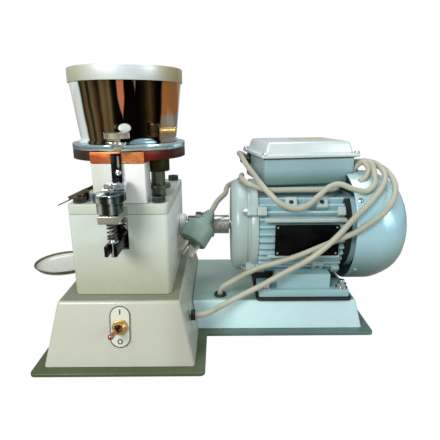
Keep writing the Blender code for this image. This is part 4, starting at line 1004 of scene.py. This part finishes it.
def make_motor():
    axis = (0, AXIS_Y, AXIS_Z)
    shield = [
        (44, 138.7), (44, 128), (7.5, 128), (7.5, 112), (20, 112), (21.4, 109), (22.4, 108.3), (48.6, 108.3),
        (50.4, 108.8), (54.6, 112.2), (55.6, 114.4), (56, 117), (56, 125.4), (55.6, 126.0), (54.5, 126.6),
        (54.5, 130), (55.4, 130.3), (56.6, 130.6), (57, 131.2), (57, 138.2), (56.6, 138.7),
    ]
    shield = turned(shield, axis, "X", 128, ring=True)
    piece("end_shield_cast", shield, "shield_paint", replaces="end_shield")

    fins = gear(59.0, 6.5, 44, (0.36, 0.60), 0.96)
    body = sheet([fins], HOUSING_LEFT, HOUSING_RIGHT, axis, TURNS["X"])
    pads, blocks = [], []
    for side in (-1, 1):
        pad_y = sorted((AXIS_Y + side * 64.5, AXIS_Y + side * 29))
        block_y = sorted((AXIS_Y + side * 58, AXIS_Y + side * 24))
        pads.append(soften(block((139, pad_y[0], 40.2), (242.7, pad_y[1], 49)), 1.2, 3))
        blocks.append(soften(block((160, block_y[0], 47), (222, block_y[1], 66)), 1.0, 2))
    flat = block((138, 14, 150.2), (254, 92, 180))
    bore = rod(38, HOUSING_RIGHT - 7 - 130, (130, AXIS_Y, AXIS_Z), "X")
    rear = rod(7.0, 40, (HOUSING_RIGHT - 20, AXIS_Y, AXIS_Z), "X")
    ring = rod(51.5, 22, (230, AXIS_Y, AXIS_Z), "X", 96)
    body = cut(join(body, ring, *pads, *blocks), bore, rear, flat)
    piece("motor_housing_finned", body, "motor_paint", replaces="motor_housing")

    mat = soften(sheet([rectangle(136, -12.5, 245.7, 122.5, 5.0)], 36.9, 39.9), 0.7, 3, 50)
    piece("motor_mat_rubber", mat, "rubber", replaces="motor_mat")

    outer = [
        (0, 314.0), (26, 313.0), (38, 311.9), (44, 310.2), (49.4, 307.0), (54.4, 302.4), (58.6, 296.6), (62, 290),
        (64.6, 283.4), (66.4, 277.4), (67.0, 272), (67.0, 246.4), (66.7, 245.6), (66.2, 245.3),
    ]
    inner = [
        (65.4, 245.3), (65.4, 273.8), (64, 280.4), (59.6, 291), (53.8, 300.3), (47.2, 306.4), (39.7, 309.6),
        (0, 312.2),
    ]
    cover = turned(outer + inner, axis, "X", 128)
    holes = []
    for ring, count in ((12, 6), (22, 12), (32, 18)):
        for i in range(count):
            angle = 2 * math.pi * i / count
            at = (COVER_RIGHT - 10, AXIS_Y + ring * math.cos(angle), AXIS_Z + ring * math.sin(angle))
            holes.append(rod(3.6, 20, at, "X", 20))
    cover = cut(cover, group(*holes))
    piece("fan_cover_spun", cover, "cover_paint", replaces="fan_cover", sharp=50)
    gap = tube(52.0, 50, 9.6, (HOUSING_RIGHT + 0.3, AXIS_Y, AXIS_Z), "X", 96)
    gap = cut(gap, block((200, 12, 149.8), (260, 94, 180)))
    piece("cover_gap_ring", gap, "shadow")


def on_motor(obj, x, angle, radius):
    """Stands a shape, built round the origin with +Z outwards, on the motor's curved side."""
    y, z = motor_point(angle, radius)
    obj.location = Vector((x, y, z)) * MM
    obj.rotation_euler = (math.radians(90 - angle), 0, 0)
    return obj


def make_motor_details():
    plate = soften(sheet([rectangle(156, 90, 227.5, 126, 1.5, 4)], 0, 1.0, (0, -5.6, 0), (90, 0, 0)), 0.2, 2, 50)
    piece("nameplate_blank", plate, "nameplate_black", replaces="nameplate")
    rivets = []
    for x in (159, 224.5):
        for z in (93, 123):
            rivets.append(turned([(0, 0.9), (0.9, 0.7), (1.3, 0.2), (1.3, 0), (0, 0)], (x, -6.6, z), turn=(90, 0, 0)))
    piece("nameplate_rivets", group(*rivets), "polished_steel")
    ledges = [
        soften(block((144, -7.6, 129), (235, 6, 133)), 0.8, 3),
        soften(block((148, -5.0, 86.4), (230, 6, 90.2)), 0.8, 3),
    ]
    piece("housing_ledges", group(*ledges), "shield_paint")

    bosses, bores = [], []
    for x, angle in ((174.8, 39.0), (209.2, 39.0), (208.6, -40.0)):
        boss = soften(block((-6.6, -6.4, -7), (6.6, 6.4, 3.2)), 0.9, 3)
        bosses.append(on_motor(cut(boss, rod(2.7, 12, (0, 0, 1.5))), x, angle, 59.0))
        bores.append(on_motor(rod(2.6, 0.4, (0, 0, 0)), x, angle, 60.8))
    piece("housing_bosses", group(*bosses), "shield_paint")
    piece("boss_bores", group(*bores), "shadow")

    lugs, bolts = [], []
    for angle in (29, 151, -45, 225):
        for low, high in ((125, 136), (136.4, 147), (226, 234.8)):
            lugs.append(on_motor(soften(block((low, -5.0, -5.5), (high, 5.0, 4.6)), 1.0, 3), 0, angle, 59))
        y, z = motor_point(angle, 59)
        bolts.append(rod(3.4, 3.6, (122.2, y, z), "X", 6))
        bolts.append(rod(2.2, 6.0, (120.0, y, z), "X", 24, edge=0.4))
    piece("shield_lugs", group(*lugs), "shield_paint")
    piece("shield_bolts", group(*bolts), "polished_steel")

    cover_screws = []
    for angle in (-38, 38, 142, 218):
        head = [(0, 2.0), (1.6, 1.8), (2.9, 0.9), (3.1, 0.2), (3.1, -0.4), (0, -0.4)]
        cover_screws.append(on_motor(turned(head), 251, angle, 66.8))
    piece("cover_screws", group(*cover_screws), "polished_steel")

    studs = []
    for x in (147.5, 235.5):
        for y in (-2.5, 112.5):
            studs.append(tube(7.0, 3.2, 1.2, (x, y, 49.1), edge=0.2))
            studs.append(soften(sheet([circle(5.8, 6)], 50.4, 55.0, (x, y, 0)), 0.5, 2, 40))
            studs.append(rod(3.0, 12.5, (x, y, 46.5), edge=0.5))
    piece("foot_bolts", group(*studs), "polished_steel")


BOX_AT, BOX_TURN = (146, 25, 0), (0, 0, 9)


def make_terminal_box():
    low, high = 163.5, 195.3
    case = soften(block((0, 0, low), (110, 93, high), BOX_AT, BOX_TURN), 3.0, 5)
    case = join(case, soften(block((158, 42, 150.6), (228, 86, low + 2)), 1.0, 2))
    case = cut(
        case,
        block((3, 3, 178), (107, 90, high + 5), BOX_AT, BOX_TURN),
        rod(68, 30, (COVER_LEFT - 0.6, AXIS_Y, AXIS_Z), "X", 96),
    )
    piece("terminal_box_cast", case, "box_paint", replaces="terminal_box")
    lid = soften(block((-4, -4, high + 0.3), (114, 97, high + 4.4), BOX_AT, BOX_TURN), 1.2, 4)
    crown = leaning_block((1, 2, 109, 91), high + 3, (5, 6, 105, 87), high + 17.7, (), BOX_AT, BOX_TURN)
    lid = join(lid, soften(crown, 3.2, 5))
    lid = cut(lid, block((8, 9, high - 3), (102, 84, high + 14), BOX_AT, BOX_TURN))
    piece("terminal_lid_cast", lid, "box_lid_paint", replaces="terminal_lid")
    seal = [rectangle(-2, -2, 112, 95, 3), rectangle(4, 4, 106, 88, 2)]
    piece("terminal_seal", sheet(seal, high - 0.4, high + 0.35, BOX_AT, BOX_TURN), "shadow")
    screws = []
    frame_of_box = Matrix.Translation(Vector(BOX_AT)) @ Matrix.Rotation(math.radians(9), 4, "Z")
    for x, y in ((-0.2, -0.6), (111, -0.6), (-0.2, 94), (111, 94)):
        place = tuple(frame_of_box @ Vector((x, y, high + 4.5)))
        screw = turned([(0, 2.6), (2.0, 2.4), (3.2, 1.4), (3.4, 0.4), (3.4, 0), (0, 0)], place)
        screws.append(cut(screw, block((-3.4, -0.4, 1.5), (3.4, 0.4, 4), place, (0, 0, 35))))
    piece("terminal_lid_screws", group(*screws), "nickel")
    label = sheet([rectangle(48, 34, 92, 62, 2)], high + 17.75, high + 18.2, BOX_AT, BOX_TURN)
    piece("terminal_lid_label", soften(label, 0.2, 2, 50), "beige")


# ---------------------------------------------------------------- wiring

CABLE_R = 3.2
PATHS = {
    "terminal_cable": [
        (131.4, 98, 187.2), (125, 95, 193), (120, 84, 196), (121, 70, 195), (126, 52, 187), (134, 35, 177),
        (144, 13, 165), (152, 5, 157), (160, 0, 150), (175, -4, 144), (189, -3, 146), (203, 2, 156), (216, 6, 166),
        (228, 6, 169), (242, 4, 164), (257, 5, 161), (268, 12, 168), (272, 24, 176), (272, 35, 187),
        (266, 46, 190), (261, 56, 184), (254.4, 61, 181),
    ],
    "supply_cable": [
        (251.9, 76, 181), (262, 70, 186), (277, 46, 188), (284, 30, 180), (281, 16, 171), (270, 3, 160),
        (254, -9, 148), (238, -15, 134), (222, -18.5, 117), (205, -20, 101), (188, -20, 88), (166, -19, 75),
        (141, -19, 60), (117, -19, 47), (97, -26, 39), (85, -37, 38), (76, -43.5, 38), (69, -45, 38),
        (57, -45, 38),
    ],
    "platform_cable": [
        (249.4, 92, 181), (265, 83, 185), (283, 60, 183), (290, 40, 180), (292, 15, 168), (284, -4, 154),
        (271, -12.5, 140), (255, -15.5, 129), (240, -15.5, 119), (222, -13, 110), (203, -11.5, 101),
        (182, -11.5, 92), (161, -10, 84), (140, -8, 77), (124, -5, 68), (108, 0, 56), (97, 3.5, 47),
        (94.5, 4.5, 40), (94.5, 4.5, 30),
    ],
    "mains_lead": [
        (84.5, 35.5, 131.6), (87, 38.5, 135.2), (92, 46, 142), (101, 60, 148), (103, 76, 149), (104, 90, 150),
        (107, 99, 152), (113, 105, 154), (120, 100, 158), (123, 88, 164), (123, 75, 168.5), (122, 62, 171),
        (121, 50, 170.8), (122, 40, 169), (127, 31, 166.3), (136, 26, 163.5), (145, 23.5, 160.6),
        (156, 24, 159.5), (170, 25, 159.4), (190, 26, 159.4), (210, 26, 159.4), (222, 27, 159.4),
        (230, 31, 159.4), (234, 37, 159.4), (232.4, 46, 159.4),
    ],
}


def gland(start, toward):
    """A ribbed cable gland where a cable leaves the terminal box."""
    aim = (Vector(toward) - Vector(start)).normalized()
    turn = [math.degrees(a) for a in aim.to_track_quat("Z", "Y").to_euler()]
    profile = [(3.8, 12.0), (5.0, 12.0), (5.6, 11.0)]
    for i in range(4):
        profile += [(6.4, 10.4 - i * 1.5), (5.9, 9.8 - i * 1.5)]
    profile += [(7.4, 4.0), (7.6, 3.6), (7.6, 0.4), (3.8, 0.4)]
    return turned(profile, start, ring=True, turn=turn)


def make_wiring():
    for name, path in PATHS.items():
        cable = settle(wire(smooth_path(path, 8), CABLE_R, 7))
        piece(name + "_sheath", cable, "cable_grey", replaces=name, sharp=70)
    glands = [
        gland((134.6, 98, 186), (122, 95, 189)),
        gland((251.8, 61, 181), (264, 59, 182)),
        gland((249.5, 76, 181), (262, 74, 182)),
        gland((247.0, 92, 181), (260, 90, 182)),
    ]
    piece("cable_glands", group(*glands), "dark_steel")
    spare = [(253.5, 50, 176), (259, 47, 184), (264, 42, 189), (268, 34, 182), (263, 27, 173), (255, 24, 169)]
    piece("spare_loop", wire(smooth_path(spare, 8), 3.0, 7), "cable_grey", sharp=70)

    tip, face = Vector((84.2, 35.2, 131.2)), Vector((62.2, 13.0, 101.2))
    aim = face - tip
    length = aim.length
    turn = [math.degrees(angle) for angle in aim.to_track_quat("Z", "Y").to_euler()]
    shape = [
        (0, length), (15.6, length), (16.4, length - 0.4), (16.7, length - 1.2), (16.7, length - 20.6),
        (16.2, length - 22), (12.6, length - 25.2), (9.6, length - 27), (8.6, length - 28.2),
    ]
    level, radius = length - 28.6, 8.1
    while level > 3:
        shape += [(radius, level), (radius - 0.1, level - 1.5)]
        shape += [(radius - 1.0, level - 1.9), (radius - 1.1, level - 2.9)]
        level, radius = level - 3.2, radius - 0.55
    shape += [(5.0, 0.4), (4.6, 0), (0, 0)]
    plug = turned(shape, tip, turn=turn, sides=72)
    piece("plug_moulding", plug, "plug_pale", replaces="plug_body", sharp=50)
    outward = aim.normalized()
    insert = rod(14.4, 0.9, face + outward * 0.1, turn=turn, edge=0.3)
    piece("plug_face", insert, "plug_green")
    pins = []
    for x, y, twist in ((0, 8.0, 0), (-6.9, -4.0, 30), (6.9, -4.0, -30)):
        pin = soften(block((-3.2, -0.8, 0.5), (3.2, 0.8, 17)), 0.4, 3)
        pin.data.transform(Matrix.Rotation(math.radians(twist), 4, "Z"))
        pin.data.transform(Matrix.Translation(Vector((x, y, 0)) * MM))
        pin.location = face * MM
        pin.rotation_euler = [math.radians(a) for a in turn]
        pins.append(pin)
    piece("plug_blades", group(*pins), "nickel", replaces="plug_pins")


# ---------------------------------------------------------------- stage

AMBIENT = 0.42


def area(name, at, aim, size, power, colour=(1, 1, 1)):
    data = bpy.data.lights.new(name, "AREA")
    data.shape = "RECTANGLE"
    data.size, data.size_y = size
    data.energy = power
    data.color = colour
    obj = bpy.data.objects.new(name, data)
    bpy.context.scene.collection.objects.link(obj)
    obj.location = at
    obj.rotation_euler = (Vector(aim) - Vector(at)).to_track_quat("-Z", "Y").to_euler()
    return obj


def camera_only(tree, for_camera, otherwise, link_to):
    """Shows one shader to the camera and another to every other ray."""
    path = tree.nodes.new("ShaderNodeLightPath")
    mix = tree.nodes.new("ShaderNodeMixShader")
    tree.links.new(path.outputs["Is Camera Ray"], mix.inputs[0])
    tree.links.new(otherwise, mix.inputs[1])
    tree.links.new(for_camera, mix.inputs[2])
    tree.links.new(mix.outputs[0], link_to)


def make_stage():
    scene = bpy.context.scene
    scene.view_settings.view_transform = "Standard"
    form = bmesh.new()
    bmesh.ops.create_grid(form, x_segments=1, y_segments=1, size=6.0)
    floor = link("floor", mesh_of("floor", form))
    floor.location.z = -0.0004
    f = Finish("floor_white")
    f.set(base_color=(0.34, 0.31, 0.24), roughness=0.8)
    glow = f.add("ShaderNodeEmission", {"Color": (1, 1, 1), "Strength": 1.0})
    camera_only(f.tree, glow.outputs[0], f.shader.outputs[0], f.tree.nodes["Material Output"].inputs["Surface"])
    floor.data.materials.append(f.material)

    world = bpy.data.worlds.new("studio")
    scene.world = world
    world.use_nodes = True
    tree = world.node_tree
    white, room = tree.nodes["Background"], tree.nodes.new("ShaderNodeBackground")
    white.inputs[0].default_value = (1.0, 1.0, 1.0, 1.0)
    room.inputs[0].default_value = (0.86, 0.95, 1.0, 1.0)
    room.inputs[1].default_value = AMBIENT
    camera_only(tree, white.outputs[0], room.outputs[0], tree.nodes["World Output"].inputs["Surface"])

    area("key", (-0.7, -1.3, 0.95), (0.05, 0, 0.12), (0.7, 0.7), 21, (1.0, 0.99, 0.95))
    area("fill", (1.5, -0.9, 0.7), (0.15, 0, 0.12), (0.7, 0.7), 7, (0.86, 0.97, 1.0))
    area("top", (0.2, 0.3, 1.5), (0.1, 0, 0.1), (0.8, 0.8), 7)

    data = bpy.data.cameras.new("camera")
    data.sensor_width = 36.0
    data.lens = 32.4
    data.clip_start = 0.01
    camera = bpy.data.objects.new("camera", data)
    scene.collection.objects.link(camera)
    camera.location = (0.0938, -0.4262, 0.2472)
    aim = Matrix.Rotation(math.radians(-0.12), 3, "Z") @ Matrix.Rotation(math.radians(90 - 15.31), 3, "X")
    camera.rotation_euler = (aim @ Matrix.Rotation(math.radians(-0.30), 3, "Z")).to_euler()
    scene.camera = camera


make_finishes()
make_base()
make_switch()
make_case()
make_head()
make_hopper()
make_dial()
make_adjuster()
make_lift()
make_lever()
make_outlet()
make_drive()
make_motor()
make_motor_details()
make_terminal_box()
make_wiring()
make_stage()
